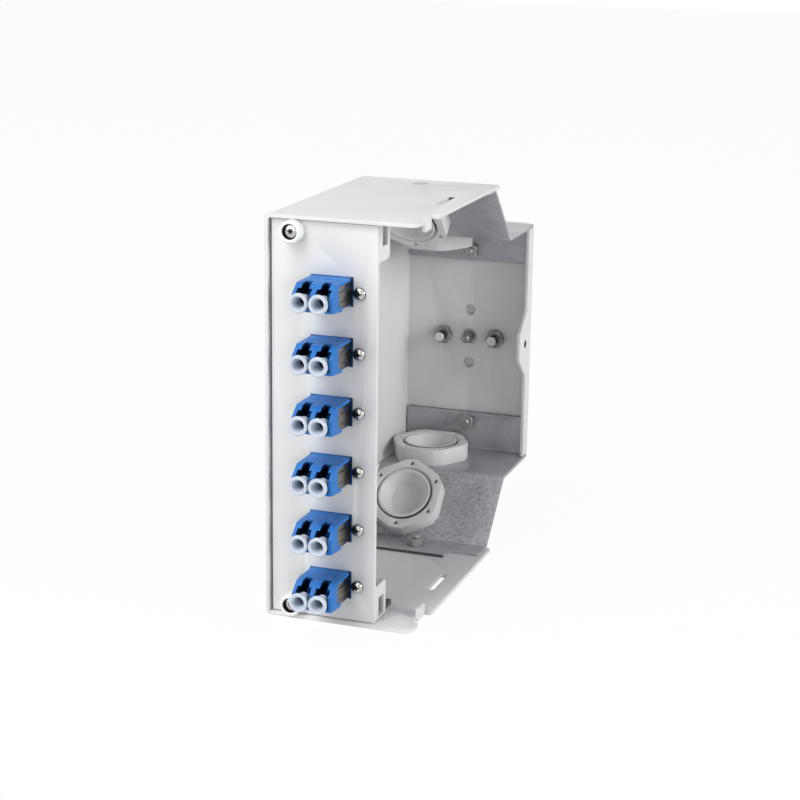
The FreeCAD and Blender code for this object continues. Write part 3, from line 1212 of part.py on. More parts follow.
def make_clip_latch():
    body = new_body("clip_latch")
    hook_rear = "Place.hook_front + Size.latch_sheet"
    profile = [
        ("Place.latch_front", "Place.latch_end"),
        ("Place.latch_back", "Place.latch_end"),
        ("Place.latch_back", "-Place.latch_shoulder - Size.latch_sheet"),
        (hook_rear, "-Place.latch_shoulder - Size.latch_sheet"),
        (hook_rear, "Size.rail_overlap - Place.latch_shoulder"),
        ("Place.hook_front", "Size.rail_overlap - Place.latch_shoulder"),
        ("Place.hook_front", "-Place.latch_shoulder"),
        ("Place.latch_front", "-Place.latch_shoulder"),
    ]
    left = "Size.middle_x - Size.latch_width / 2"
    pad(body, outline(body, "latch_side", "YZ_Plane", profile, left), "Size.latch_width")
    fold = edge_at(AXIS_X, y=hook_rear, z="-Place.latch_shoulder - Size.latch_sheet")
    dress(body, "Fillet", "latch_fold", "Size.hook_round", [fold])
    cut = start_sketch(body, "latch_openings", "XZ_Plane", "-Place.latch_back")
    play = "(Size.rivet_shank / 2 + Size.latch_gap)"
    for sign in ("-", "+"):
        middle = "Size.middle_x %s Size.rivet_spacing / 2" % sign
        low = "Place.rivet_z - " + play
        high = "Place.rivet_z + Size.latch_travel + " + play
        left, right = middle + " - " + play, middle + " + " + play
        add_outline(cut, [(left, low), (right, low), (right, high), (left, high)])
    left = "Size.middle_x - Size.spring_window / 2"
    right = "Size.middle_x + Size.spring_window / 2"
    low = "Place.spring_z - Size.clip_sheet - Size.latch_gap"
    high = "Place.spring_z + Size.spring_length"
    add_outline(cut, [(left, low), (right, low), (right, high), (left, high)])
    left = "Size.middle_x - Size.screwdriver_slot / 2"
    right = "Size.middle_x + Size.screwdriver_slot / 2"
    low = "Place.latch_end + Size.screwdriver_slot / 4"
    high = "Place.latch_end + Size.screwdriver_slot * 3 / 4"
    add_outline(cut, [(left, low), (right, low), (right, high), (left, high)])
    pocket(body, cut, "Size.latch_sheet + Size.latch_gap", back=True)
    finish(body)


def make_clip_spring():
    """Compression spring between the fixed tab and the upper edge of the latch's window."""
    body = new_body("clip_spring")
    wire = start_sketch(body, "wire", "XZ_Plane")
    radius = "(Size.spring_outside - Size.spring_wire) / 2"
    add_circle(wire, radius, "Size.spring_wire / 2", "Size.spring_wire")
    coil = body.newObject("PartDesign::AdditiveHelix", "coil")
    coil.Profile = wire
    coil.ReferenceAxis = (wire, ["V_Axis"])
    coil.Mode = "height-turns-growth"
    coil.setExpression("Height", "Size.spring_length - Size.spring_wire")
    coil.setExpression("Turns", "Size.spring_turns")
    doc.recompute()
    finish(body, MIDDLE, "Place.spring_y", "Place.spring_z")


def make_clip_rivets():
    body = new_body("clip_rivets")
    seat = "Place.latch_back + Size.latch_gap"
    head = "Size.rivet_head / 2"
    shank = "Size.rivet_shank / 2"
    top = seat + " + Size.rivet_head_height"
    profile = [("0", "Place.back_outer"), (shank, "Place.back_outer"), (shank, seat), (head, seat)]
    profile += [(head, top), ("0", top)]
    for name, sign in (("right", "+"), ("left", "-")):
        spot = "Size.middle_x %s Size.rivet_spacing / 2" % sign
        turned(body, "rivet_" + name, "XY_Plane", profile, x=spot, lift="Place.rivet_z")
    finish(body)


def make_clip_pin():
    """Locating pin, riveted into the clip's plate, with a round end inside the case."""
    body = new_body("clip_pin")
    radius = "Size.pin_outside / 2"
    front = "Place.back_inner - Size.pin_reach"
    profile = [("0", front), (radius, front), (radius, "Place.clip_back"), ("0", "Place.clip_back")]
    turned(body, "pin", "XY_Plane", profile, x=MIDDLE)
    dress(body, "Fillet", "pin_end", "Size.pin_round", [circle_at(AXIS_Y, radius, y=front)])
    finish(body)


def make_clip_bolts():
    body = new_body("clip_bolts")
    head = "Size.bolt_head / 2"
    shank = "Size.bolt_shank / 2"
    neck = "Place.clip_back - Size.bolt_head_height"
    end = "Place.back_inner - Size.bolt_reach"
    bevel = end + " + Size.stud_point"
    profile = [("0", "Place.clip_back"), (head, "Place.clip_back"), (shank, neck), (shank, bevel)]
    profile += [(shank + " - Size.stud_point", end), ("0", end)]
    for name, sign in (("right", "+"), ("left", "-")):
        turned(body, "bolt_" + name, "XY_Plane", profile, x="Size.middle_x %s Size.bolt_spacing / 2" % sign)
    finish(body)


def make_clip_nuts():
    body = new_body("clip_nuts")
    sketch = start_sketch(body, "bolt_nuts", "XZ_Plane", "-Place.back_inner")
    for sign in ("+", "-"):
        middle = "Size.middle_x %s Size.bolt_spacing / 2" % sign
        add_outline(sketch, hexagon("Size.bolt_nut_flats", middle, "0", upright=True))
        add_circle(sketch, middle, "0", "Size.bolt_shank + 2 * Size.thread_clearance")
    pad(body, sketch, "Size.bolt_nut_height")
    finish(body)


# All pieces

make_housing()
make_front_panel()
for word, side in SIDES:
    make_screw_bracket(word, side)
    make_gland_bracket(word, side)
    for name, y, z, turn in cable_entries(side):
        spot = ("Place.gland_x", y, z)
        make_plug("%s_%s_plug" % (word, name), spot + (turn,))
        make_locknut("%s_%s_locknut" % (word, name), spot + (nut_turn(name, turn),))
        make_seal("%s_%s_seal" % (word, name), spot + (turn,))
for row in range(ROWS):
    make_adapter("lc_adapter_%d" % (row + 1), row)
    make_adapter_clip("adapter_clip_%d" % (row + 1), row)
    make_dust_cap("dust_cap_%d_left" % (row + 1), row, "-")
    make_dust_cap("dust_cap_%d_right" % (row + 1), row, "+")
make_sleeves()
make_adapter_screws()
make_adapter_nuts()
make_collars()
make_captive_screws()
make_studs()
make_stud_nuts()
make_clip_base()
make_clip_latch()
make_clip_spring()
make_clip_rivets()
make_clip_pin()
make_clip_bolts()
make_clip_nuts()

# Checks and export

doc.recompute()
for item in doc.Objects:
    if "Invalid" in item.State or "Error" in item.State:
        raise ValueError("%s failed" % item.Name)
for piece in pieces:
    if piece.Shape.isNull() or not piece.Shape.isValid():
        raise ValueError("%s has no valid shape" % piece.Label)

os.makedirs("parts", exist_ok=True)
for piece in pieces:
    piece.Shape.exportStep("parts/%s.step" % piece.Label)
    box = piece.Shape.BoundBox
    corners = (box.XMin, box.YMin, box.ZMin, box.XMax, box.YMax, box.ZMax)
    print(piece.Label, len(piece.Shape.Solids), round(piece.Shape.Volume, 1), [round(c, 2) for c in corners])
print(len(pieces), "pieces")
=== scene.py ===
# %% [markdown]
# # A fibre distribution box, dressed for its picture
# The box is folded from painted sheet steel. Six blue duplex adapters sit in its front panel, and
# four blanked cable entries sit in galvanised brackets at the back. Its solids come from a CAD
# frame and stay where they are. They could be modelled again here, but two models of one box soon
# differ. So this lesson gives the solids their finishes, and remakes only the small pieces whose
# looks depend on fine detail, such as screws, nuts and dust caps.

# %% Load the frame
import bpy
import json
import math
from mathutils import Matrix, Vector


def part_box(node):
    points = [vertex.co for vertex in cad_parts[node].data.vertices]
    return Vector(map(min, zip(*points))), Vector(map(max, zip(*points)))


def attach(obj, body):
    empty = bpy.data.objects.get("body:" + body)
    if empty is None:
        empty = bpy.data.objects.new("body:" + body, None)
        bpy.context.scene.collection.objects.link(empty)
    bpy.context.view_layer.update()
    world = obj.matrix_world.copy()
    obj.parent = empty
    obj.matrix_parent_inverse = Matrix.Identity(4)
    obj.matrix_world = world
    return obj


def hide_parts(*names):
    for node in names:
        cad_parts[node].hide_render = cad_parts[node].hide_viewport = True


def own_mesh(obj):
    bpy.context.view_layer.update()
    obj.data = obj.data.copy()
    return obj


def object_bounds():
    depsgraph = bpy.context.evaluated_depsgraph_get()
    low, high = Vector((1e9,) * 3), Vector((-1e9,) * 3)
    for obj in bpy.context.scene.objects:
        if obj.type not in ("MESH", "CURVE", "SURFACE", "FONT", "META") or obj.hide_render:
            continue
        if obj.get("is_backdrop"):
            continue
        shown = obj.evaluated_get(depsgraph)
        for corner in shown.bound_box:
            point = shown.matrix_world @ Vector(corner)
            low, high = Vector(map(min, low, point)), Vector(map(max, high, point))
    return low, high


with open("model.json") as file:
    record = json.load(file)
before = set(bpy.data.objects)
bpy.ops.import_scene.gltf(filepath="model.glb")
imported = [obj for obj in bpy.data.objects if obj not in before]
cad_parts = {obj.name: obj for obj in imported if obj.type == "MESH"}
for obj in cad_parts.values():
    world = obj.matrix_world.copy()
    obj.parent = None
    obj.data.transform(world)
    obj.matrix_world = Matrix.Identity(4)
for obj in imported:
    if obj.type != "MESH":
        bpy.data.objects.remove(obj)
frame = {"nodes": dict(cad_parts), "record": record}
nodes = frame["nodes"]
low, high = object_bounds()
print("frame of", len(nodes), "nodes, from", tuple(low), "to", tuple(high))

# %% [markdown]
# ## Camera
# The picture was taken with a long lens from the upper right, so upright edges stay nearly
# parallel. A camera can be posed by eye until its view fits. Here its place, lens and three angles
# were worked out from corners of the box whose real places are known, because that is exact, and
# they are typed in. A camera in Blender looks along its own -Z axis, so level means tipped up by
# a right angle.

# %% Camera
MM = 0.001
LENS = 86.58
CAMERA_PLACE = Vector((204.68, -573.96, 229.30)) * MM
YAW = math.radians(19.173)
PITCH = math.radians(15.232)
ROLL = math.radians(0.809)

camera_data = bpy.data.cameras.new("camera")
camera_data.lens = LENS
camera_data.sensor_width = 36.0
camera_data.clip_start = 0.01
camera = bpy.data.objects.new("camera", camera_data)
bpy.context.scene.collection.objects.link(camera)
aim = Matrix.Rotation(YAW, 4, "Z") @ Matrix.Rotation(math.pi / 2 - PITCH, 4, "X")
aim = aim @ Matrix.Rotation(ROLL, 4, "Z")
camera.matrix_world = Matrix.Translation(CAMERA_PLACE) @ aim
bpy.context.scene.camera = camera
print("camera", round(CAMERA_PLACE.length, 3), "m from the origin")

# %% [markdown]
# ## Stage
# The box stands on a white floor in front of a white world. Strong light could burn both out to
# white, but it would burn out the pale box as well. So the floor's shader shows plain white to the
# camera and to glossy rays, mixed with a little of its lit surface, which keeps a faint shadow,
# and the world does the same. What the box receives from the world stays weak.

# %% Helpers for the stage
def link(tree, source, target):
    tree.links.new(source, target)


def combine(tree, operation, first, second):
    """A math node on two values. The second one is a socket or a plain number."""
    node = tree.nodes.new("ShaderNodeMath")
    node.operation = operation
    link(tree, first, node.inputs[0])
    if isinstance(second, float):
        node.inputs[1].default_value = second
    else:
        link(tree, second, node.inputs[1])
    return node.outputs[0]


def show_white(tree, shader, strength):
    """Mixes plain white over a shader for the camera, for reflections and for clear plastic."""
    path = tree.nodes.new("ShaderNodeLightPath")
    seen = combine(tree, "MAXIMUM", path.outputs["Is Camera Ray"], path.outputs["Is Glossy Ray"])
    seen = combine(tree, "MAXIMUM", seen, path.outputs["Is Transmission Ray"])
    white = tree.nodes.new("ShaderNodeEmission")
    white.inputs["Color"].default_value = (1, 1, 1, 1)
    white.inputs["Strength"].default_value = 1.0
    mix = tree.nodes.new("ShaderNodeMixShader")
    link(tree, combine(tree, "MULTIPLY", seen, strength), mix.inputs[0])
    link(tree, shader, mix.inputs[1])
    link(tree, white.outputs[0], mix.inputs[2])
    return mix.outputs[0]


# %% Floor
FLOOR_WHITE = 0.96
FLOOR_DROP = 0.2

bpy.ops.object.select_all(action="DESELECT")
bpy.ops.mesh.primitive_plane_add(size=6.0, location=(0, 0, -FLOOR_DROP * MM))
floor = bpy.context.object
floor.name = "floor"
paper = bpy.data.materials.new("floor_paper")
paper.use_nodes = True
tree = paper.node_tree
lit = tree.nodes["Principled BSDF"]
lit.inputs["Base Color"].default_value = (0.86, 0.86, 0.86, 1)
lit.inputs["Roughness"].default_value = 0.9
shown = show_white(tree, lit.outputs[0], FLOOR_WHITE)
link(tree, shown, tree.nodes["Material Output"].inputs["Surface"])
floor.data.materials.append(paper)
floor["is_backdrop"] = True
print("floor", round(floor.dimensions.x, 1), "m wide, shown", FLOOR_WHITE, "white")

# %% World
SKY_STRENGTH = 0.24

world = bpy.data.worlds.new("studio")
bpy.context.scene.world = world
world.use_nodes = True
tree = world.node_tree
sky = tree.nodes["Background"]
sky.inputs["Color"].default_value = (1, 1, 1, 1)
sky.inputs["Strength"].default_value = SKY_STRENGTH
shown = show_white(tree, sky.outputs[0], 1.0)
link(tree, shown, tree.nodes["World Output"].inputs["Surface"])
bpy.context.scene.view_settings.view_transform = "Standard"
print("world lights with", SKY_STRENGTH)

# %% [markdown]
# ## Lamps
# A studio picture like this one has large soft lights. A picture of a studio round the scene could
# stand for them, but lamps are easier to tell apart and to move. One from the upper left front
# lights the top and the panel, a low one in front softens the shadows under the adapters, and one
# from the right shines into the open side, lights the inside of the left wall and leaves the back
# wall in half shade.

# %% Lamps
def soft_lamp(name, place, size, power):
    """A square area lamp turned towards the middle of the box. Metres and watts."""
    data = bpy.data.lights.new(name, "AREA")
    data.size = size
    data.energy = power
    lamp = bpy.data.objects.new(name, data)
    bpy.context.scene.collection.objects.link(lamp)
    lamp.location = place
    lamp.rotation_euler = (MIDDLE - Vector(place)).to_track_quat("-Z", "Y").to_euler()


MIDDLE = Vector((0.0, 0.02, 0.07))
soft_lamp("key", (-0.50, -0.80, 1.22), size=0.9, power=17.0)
soft_lamp("front", (-0.50, -1.25, 0.20), size=1.0, power=6.5)
soft_lamp("right", (1.2, -0.21, 0.48), size=0.6, power=9.8)

# %% [markdown]
# ## Finishes
# A finish can be painted on an unwrapped mesh or worked out by the shader. Here the shader does
# it, because that needs no unwrapping and keeps its scale on every piece. Each material starts
# from the Principled shader, and helpers add noise that drives a small bump and a small change of
# gloss or colour. The noise reads Object coordinates in metres, so its scale is the real one: a
# grain of 0.4 mm needs a noise scale of about 2500.

# %% Helpers for shaders
def new_finish(name, color, roughness, metallic=0.0):
    material = bpy.data.materials.new(name)
    material.use_nodes = True
    shader = material.node_tree.nodes["Principled BSDF"]
    shader.inputs["Base Color"].default_value = (*color, 1)
    shader.inputs["Roughness"].default_value = roughness
    shader.inputs["Metallic"].default_value = metallic
    return material, material.node_tree, shader


def place_node(tree):
    return tree.nodes.new("ShaderNodeTexCoord").outputs["Object"]


def stretched_place(tree, scale):
    """Object coordinates with a scale for each axis. A small one stretches patterns along it."""
    node = tree.nodes.new("ShaderNodeMapping")
    node.inputs["Scale"].default_value = scale
    link(tree, place_node(tree), node.inputs["Vector"])
    return node.outputs["Vector"]


def noise(tree, scale, detail=3.0, place=None):
    node = tree.nodes.new("ShaderNodeTexNoise")
    node.inputs["Scale"].default_value = scale
    node.inputs["Detail"].default_value = detail
    link(tree, place_node(tree) if place is None else place, node.inputs["Vector"])
    return node.outputs["Fac"]


# %% Helpers that turn noise into colour, gloss and relief
NOISE_LOW, NOISE_HIGH = 0.3, 0.7


def spread(tree, value, low, high):
    """Stretches a pattern's middle range to run from low to high."""
    node = tree.nodes.new("ShaderNodeMapRange")
    node.inputs["From Min"].default_value = NOISE_LOW
    node.inputs["From Max"].default_value = NOISE_HIGH
    node.inputs["To Min"].default_value = low
    node.inputs["To Max"].default_value = high
    link(tree, value, node.inputs["Value"])
    return node.outputs["Result"]


def tint(tree, value, dark, light):
    """Turns a pattern into a colour between two colours."""
    node = tree.nodes.new("ShaderNodeValToRGB")
    node.color_ramp.elements[0].position = NOISE_LOW
    node.color_ramp.elements[1].position = NOISE_HIGH
    node.color_ramp.elements[0].color = (*dark, 1)
    node.color_ramp.elements[1].color = (*light, 1)
    link(tree, value, node.inputs["Fac"])
    return node.outputs["Color"]


def vary_gloss(tree, shader, scale, low, high):
    link(tree, spread(tree, noise(tree, scale), low, high), shader.inputs["Roughness"])


def vary_color(tree, shader, scale, dark, light):
    link(tree, tint(tree, noise(tree, scale), dark, light), shader.inputs["Base Color"])


def bump(tree, shader, height, depth, strength):
    """Relief from a pattern. The depth is in millimetres."""
    node = tree.nodes.new("ShaderNodeBump")
    node.inputs["Distance"].default_value = depth * MM
    node.inputs["Strength"].default_value = strength
    link(tree, height, node.inputs["Height"])
    link(tree, node.outputs["Normal"], shader.inputs["Normal"])
    return node


print("noise between", NOISE_LOW, "and", NOISE_HIGH, "is used in full")

# %% [markdown]
# ## Powder coat
# The case and the panel are coated in light grey. Such a coat is satin and shows a very fine
# orange peel. It could be real relief in the mesh, but it is far too small for that, so it is a
# low bump about half a millimetre across. The plates also show two faint round marks each, where
# the screw brackets are spot welded on the inside. They are drawn by the distance from their
# middles and go into the same bump, which keeps the plates flat.

# %% Round marks
def ring_marks(tree, places, radius):
    """Shallow round marks: 1 inside each mark, 0 outside, with a soft edge."""
    total = None
    for x, y in places:
        flat = tree.nodes.new("ShaderNodeVectorMath")
        flat.operation = "MULTIPLY"
        flat.inputs[1].default_value = (1, 1, 0)
        link(tree, place_node(tree), flat.inputs[0])
        reach = tree.nodes.new("ShaderNodeVectorMath")
        reach.operation = "DISTANCE"
        reach.inputs[1].default_value = (x * MM, y * MM, 0)
        link(tree, flat.outputs[0], reach.inputs[0])
        edge = tree.nodes.new("ShaderNodeMapRange")
        edge.interpolation_type = "SMOOTHSTEP"
        edge.inputs["From Min"].default_value = (radius - 0.5) * MM
        edge.inputs["From Max"].default_value = (radius + 0.3) * MM
        edge.inputs["To Min"].default_value = 1.0
        edge.inputs["To Max"].default_value = 0.0
        link(tree, reach.outputs["Value"], edge.inputs["Value"])
        mark = edge.outputs["Result"]
        total = mark if total is None else combine(tree, "ADD", total, mark)
    return total


# %% Powder coat
WELDS = [(-16.4, -24.0), (3.1, -23.5)]
WELD_RADIUS = 1.6
WELD_DEPTH = 0.12


def powder_coat(name, marks):
    material, tree, shader = new_finish(name, (0.66, 0.67, 0.66), 0.5)
    shader.inputs["Specular IOR Level"].default_value = 0.35
    vary_gloss(tree, shader, 60.0, 0.46, 0.56)
    vary_color(tree, shader, 25.0, (0.683, 0.684, 0.676), (0.7, 0.701, 0.693))
    grain = bump(tree, shader, noise(tree, 2200.0, 2.0), 0.02, 0.3)
    if marks:
        dents = tree.nodes.new("ShaderNodeBump")
        dents.invert = True
        dents.inputs["Distance"].default_value = WELD_DEPTH * MM
        dents.inputs["Strength"].default_value = 0.5
        link(tree, ring_marks(tree, marks, WELD_RADIUS), dents.inputs["Height"])
        link(tree, dents.outputs["Normal"], grain.inputs["Normal"])
    return material


case_paint = powder_coat("light_grey_powder_coat", [])
welded_paint = powder_coat("powder_coat_with_weld_marks", WELDS)
print("coats", case_paint.name, "and", welded_paint.name, "with", len(WELDS), "marks")

# %% [markdown]
# ## Galvanised sheet
# The gland brackets are plain zinc-coated sheet, a half matt violet grey. The flowers of zinc
# could be drawn with Voronoi cells, but from this distance they are only a fine fleck, a little
# under a millimetre. So two noise layers are mixed, slow clouds and fine grain, and their range is
# kept narrow, because a strong pattern looks like stone. The lower slope gets a coarser mix with a
# wider range: the fleck is real, and its stronger contrast there is a painted glint where the light
# catches that slope. Two dark finishes are painted shade for shaded places: the cut edges of the
# zinc sheet, and gaps and bores that hardly any light gets into.

# %% Galvanised sheet
CLOUDS, FLECKS = 110.0, 1000.0


def galvanised(name, grain, dark, light):
    """Zinc-coated sheet. The grain is the share of fine fleck against slow clouds."""
    material, tree, shader = new_finish(name, (0.42, 0.42, 0.44), 0.45, 0.6)
    place = stretched_place(tree, (0.8, 1.0, 1.0))
    clouds = noise(tree, CLOUDS, 4.0, place)
    flecks = noise(tree, FLECKS, 4.0, place)
    both = tree.nodes.new("ShaderNodeMix")
    both.inputs["Factor"].default_value = grain
    link(tree, clouds, both.inputs["A"])
    link(tree, flecks, both.inputs["B"])
    pattern = both.outputs["Result"]
    link(tree, tint(tree, pattern, dark, light), shader.inputs["Base Color"])
    link(tree, spread(tree, pattern, 0.36, 0.54), shader.inputs["Roughness"])
    bump(tree, shader, flecks, 0.03, 0.3)
    return material


zinc_sheet = galvanised("galvanised_sheet", 0.3, (0.34, 0.34, 0.365), (0.5, 0.5, 0.525))
# Real fleck with a painted glint: a wider range of tone for the lower slope, where light catches
# it.
zinc_with_painted_glint = galvanised("galvanised_sheet_with_painted_glint", 0.7,
                          (0.28, 0.28, 0.302), (0.56, 0.56, 0.585))

# Painted shade: a dark colour for the zinc sheet's cut edges, which lie in shade.
zinc_edge_shade, tree, shader = new_finish("dark_zinc_edge", (0.1, 0.1, 0.11), 0.5, 0.5)
bump(tree, shader, noise(tree, 900.0), 0.01, 0.3)

# Painted shade: a near-black coat for faces in deep shade, such as the screw brackets behind the
# panel, gaps and thread rings.
painted_shade_coat, tree, shader = new_finish("shaded_coat", (0.06, 0.06, 0.065), 0.6)
bump(tree, shader, noise(tree, 900.0), 0.01, 0.3)
print("sheet", [m.name for m in (zinc_sheet, zinc_with_painted_glint, zinc_edge_shade, painted_shade_coat)])

# %% [markdown]
# ## Gland plastic and rubber
# The locknuts and plugs are light grey nylon, and black rubber rings lie under the plugs' heads.
# Moulded plastic could be one even value, but then its highlights have hard, clean borders. A
# slow change of gloss breaks them up, as on real nylon.

# %% Gland plastic and rubber
gland_plastic, tree, shader = new_finish("gland_nylon", (0.66, 0.66, 0.67), 0.42)
shader.inputs["Specular IOR Level"].default_value = 0.4
vary_gloss(tree, shader, 400.0, 0.36, 0.5)
bump(tree, shader, noise(tree, 1500.0), 0.01, 0.3)

seal_rubber, tree, shader = new_finish("black_seal", (0.02, 0.02, 0.02), 0.7)
bump(tree, shader, noise(tree, 900.0), 0.02, 0.4)
print("gland parts", gland_plastic.name, "and", seal_rubber.name)

# %% [markdown]
# ## Blue adapters
# The adapters are satin blue. Their ports and slots get a near-black painted shade, and so does the
# rim of their flange beside the metal clip, which lies in shade. That rim could be a face with a
# material of its own, but it is part of a large face. So a mask finds it by its place: each of
# three ramps along an axis runs from 0 to 1, and their product is 1 only on the rim.

# %% Blue adapters
def ramp_along(tree, axis, start, end, low=0.0, high=1.0):
    """A value that runs from low to high between two places on an axis, in millimetres."""
    apart = tree.nodes.new("ShaderNodeSeparateXYZ")
    link(tree, place_node(tree), apart.inputs["Vector"])
    node = tree.nodes.new("ShaderNodeMapRange")
    node.inputs["From Min"].default_value = start * MM
    node.inputs["From Max"].default_value = end * MM
    node.inputs["To Min"].default_value = low
    node.inputs["To Max"].default_value = high
    link(tree, apart.outputs[axis], node.inputs["Value"])
    return node.outputs["Result"]


adapter_blue, tree, shader = new_finish("blue_adapter", (0.02, 0.15, 0.5), 0.42)
shader.inputs["Specular IOR Level"].default_value = 0.22
vary_gloss(tree, shader, 500.0, 0.34, 0.48)
bump(tree, shader, noise(tree, 1800.0), 0.01, 0.25)
# Painted shade: near black on the flange's rim beside the clip, which lies in shade.
right_side = ramp_along(tree, "X", 2.6, 3.0)
behind_clip = ramp_along(tree, "Y", -41.7, -41.2)
before_panel = ramp_along(tree, "Y", -40.1, -40.3)
rim = combine(tree, "MULTIPLY", right_side, behind_clip)
rim = combine(tree, "MULTIPLY", rim, before_panel)
rim_shade_mix = tree.nodes.new("ShaderNodeMix")
rim_shade_mix.data_type = "RGBA"
blue = tint(tree, noise(tree, 120.0), (0.018, 0.15, 0.47), (0.024, 0.17, 0.52))
link(tree, rim, rim_shade_mix.inputs["Factor"])
link(tree, blue, rim_shade_mix.inputs["A"])
rim_shade_mix.inputs["B"].default_value = (0.006, 0.01, 0.02, 1)
link(tree, rim_shade_mix.outputs["Result"], shader.inputs["Base Color"])

# Painted shade: near black for ports, latch slots, tick floors and the flange's side.
painted_adapter_shade, tree, shader = new_finish("adapter_painted_shade", (0.006, 0.012, 0.035), 0.5)
shader.inputs["Specular IOR Level"].default_value = 0.2
bump(tree, shader, noise(tree, 1800.0), 0.01, 0.2)
print("adapters", adapter_blue.name, "and", painted_adapter_shade.name)

# %% [markdown]
# ## Caps, collars and sleeves
# The dust caps are soft clear plastic with a lilac tint. Full transmission would show every edge
# of the square plug inside, which the real, cloudy plastic hides. So only a small part of the
# light goes through, and more is scattered inside. The bore gets a darker colour of its own, a
# painted shade for the recess. The screw collars are white nylon, and the sleeves inside the
# adapters are white ceramic.

# %% Caps, collars and sleeves
cap_clear, tree, shader = new_finish("clear_cap", (0.7, 0.74, 0.82), 0.3)
shader.inputs["Subsurface Weight"].default_value = 0.5
shader.inputs["Subsurface Radius"].default_value = (0.0015, 0.0018, 0.0025)
shader.inputs["Transmission Weight"].default_value = 0.15
shader.inputs["IOR"].default_value = 1.45
vary_color(tree, shader, 300.0, (0.58, 0.64, 0.74), (0.64, 0.7, 0.79))
bump(tree, shader, noise(tree, 500.0), 0.01, 0.2)

cap_bore, tree, shader = new_finish("cap_bore", (0.54, 0.6, 0.69), 0.4)
bump(tree, shader, noise(tree, 500.0), 0.01, 0.2)

collar_white, tree, shader = new_finish("white_collar", (0.82, 0.83, 0.81), 0.25)
bump(tree, shader, noise(tree, 600.0), 0.01, 0.2)

sleeve_ceramic, tree, shader = new_finish("white_ceramic", (0.85, 0.85, 0.8), 0.2)
bump(tree, shader, noise(tree, 2000.0), 0.01, 0.1)
print("small parts", [m.name for m in (cap_clear, cap_bore, collar_white, sleeve_ceramic)])

# %% [markdown]
# ## Spring clips
# The adapters' spring clips are dark rolled strip with fine lines along the strip. Anisotropic
# gloss could suggest the lines, but at this size they show as streaks of tone. So a noise is
# stretched along the strip. Towards the panel the strip dips under the flange into shade, and a
# painted shade darkens its colour there. Bare metal shows what is around it, here a white room, so
# its own colour sets how dark it looks.

# %% Spring clips
clip_steel, tree, shader = new_finish("clip_strip", (0.14, 0.14, 0.13), 0.34, 0.9)
rolled = noise(tree, 900.0, 2.0, stretched_place(tree, (1.0, 0.15, 1.0)))
# Painted shade: the strip's colour fades to near black towards the panel.
shade = ramp_along(tree, "Y", -49.0, -42.0, 1.0, 0.06)
streaks = combine(tree, "MULTIPLY", spread(tree, rolled, 0.55, 0.9), shade)
strip = tint(tree, streaks, (0.0, 0.0, 0.0), (0.26, 0.24, 0.205))
link(tree, strip, shader.inputs["Base Color"])
link(tree, spread(tree, rolled, 0.26, 0.42), shader.inputs["Roughness"])
bump(tree, shader, rolled, 0.01, 0.3)
print("clips", clip_steel.name)

# %% [markdown]
# ## Screws, nuts and the rail clip
# The screws are bright nickel, and nuts, studs, bolts and the rail clip have zinc plate of
# different ages. One metal with a colour for each piece would do in a drawing. Here each gets its
# own gloss too, since that is what tells nickel from zinc. Recesses and the grooves of threads
# get a nearly black finish, because they are too narrow to fill with light.

# %% Screws, nuts and the rail clip
bright_nickel, tree, shader = new_finish("bright_nickel", (0.5, 0.49, 0.47), 0.16, 1.0)
vary_gloss(tree, shader, 1500.0, 0.1, 0.24)
vary_color(tree, shader, 900.0, (0.42, 0.41, 0.39), (0.62, 0.61, 0.58))

zinc_plate, tree, shader = new_finish("dull_zinc_plate", (0.3, 0.3, 0.3), 0.34, 0.9)
vary_gloss(tree, shader, 1500.0, 0.26, 0.44)
vary_color(tree, shader, 900.0, (0.24, 0.24, 0.24), (0.38, 0.38, 0.37))
bump(tree, shader, noise(tree, 2500.0), 0.01, 0.3)

pale_zinc, tree, shader = new_finish("pale_zinc_plate", (0.6, 0.6, 0.6), 0.5, 0.3)
bump(tree, shader, noise(tree, 1500.0), 0.01, 0.3)

bolt_zinc, tree, shader = new_finish("bright_zinc_bolt", (0.72, 0.72, 0.7), 0.4, 0.55)
vary_gloss(tree, shader, 1200.0, 0.3, 0.5)

stud_zinc, tree, shader = new_finish("stud_zinc", (0.4, 0.4, 0.4), 0.34, 0.8)
vary_gloss(tree, shader, 1200.0, 0.26, 0.42)

# Painted shade: near black for recesses, thread grooves, shanks and the collars' bores.
painted_recess_shade, tree, shader = new_finish("dark_recess", (0.02, 0.02, 0.02), 0.4, 0.5)
vary_gloss(tree, shader, 900.0, 0.3, 0.5)
print("materials so far", len(bpy.data.materials))

# %% [markdown]
# ## Give each node its finish
# Each entry in the frame's record names a node and its slot. The finishes could be picked one by
# one in the material tab. A dictionary from slot to finish does it in one pass and misses none.
# A few nodes then get a finish of their own: the housing has the weld marks, the screw brackets
# get painted shade, since they lie in the shade behind the panel, and the rail clip's plate is
# paler than its latch.

# %% Give each node its finish
finishes = {
    "case_paint": case_paint,
    "zinc_sheet": zinc_sheet,
    "gland_plastic": gland_plastic,
    "seal_rubber": seal_rubber,
    "adapter_blue": adapter_blue,
    "clip_steel": clip_steel,
    "cap_clear": cap_clear,
    "sleeve_ceramic": sleeve_ceramic,
    "bright_nickel": bright_nickel,
    "zinc_plate": zinc_plate,
    "collar_white": collar_white,
}
own_finish = {
    "housing": welded_paint,
    "upper_screw_bracket": painted_shade_coat,
    "lower_screw_bracket": painted_shade_coat,
    "clip_base": pale_zinc,
}
slot_of = {}
for entry in frame["record"]["subparts"]:
    node, slot = entry["node"], entry["material_slot"]
    slot_of[node] = slot
    if not nodes[node].material_slots:
        nodes[node].data.materials.append(None)
    for material_slot in nodes[node].material_slots:
        material_slot.material = own_finish.get(node, finishes[slot])
print("finishes given to", len(slot_of), "nodes")

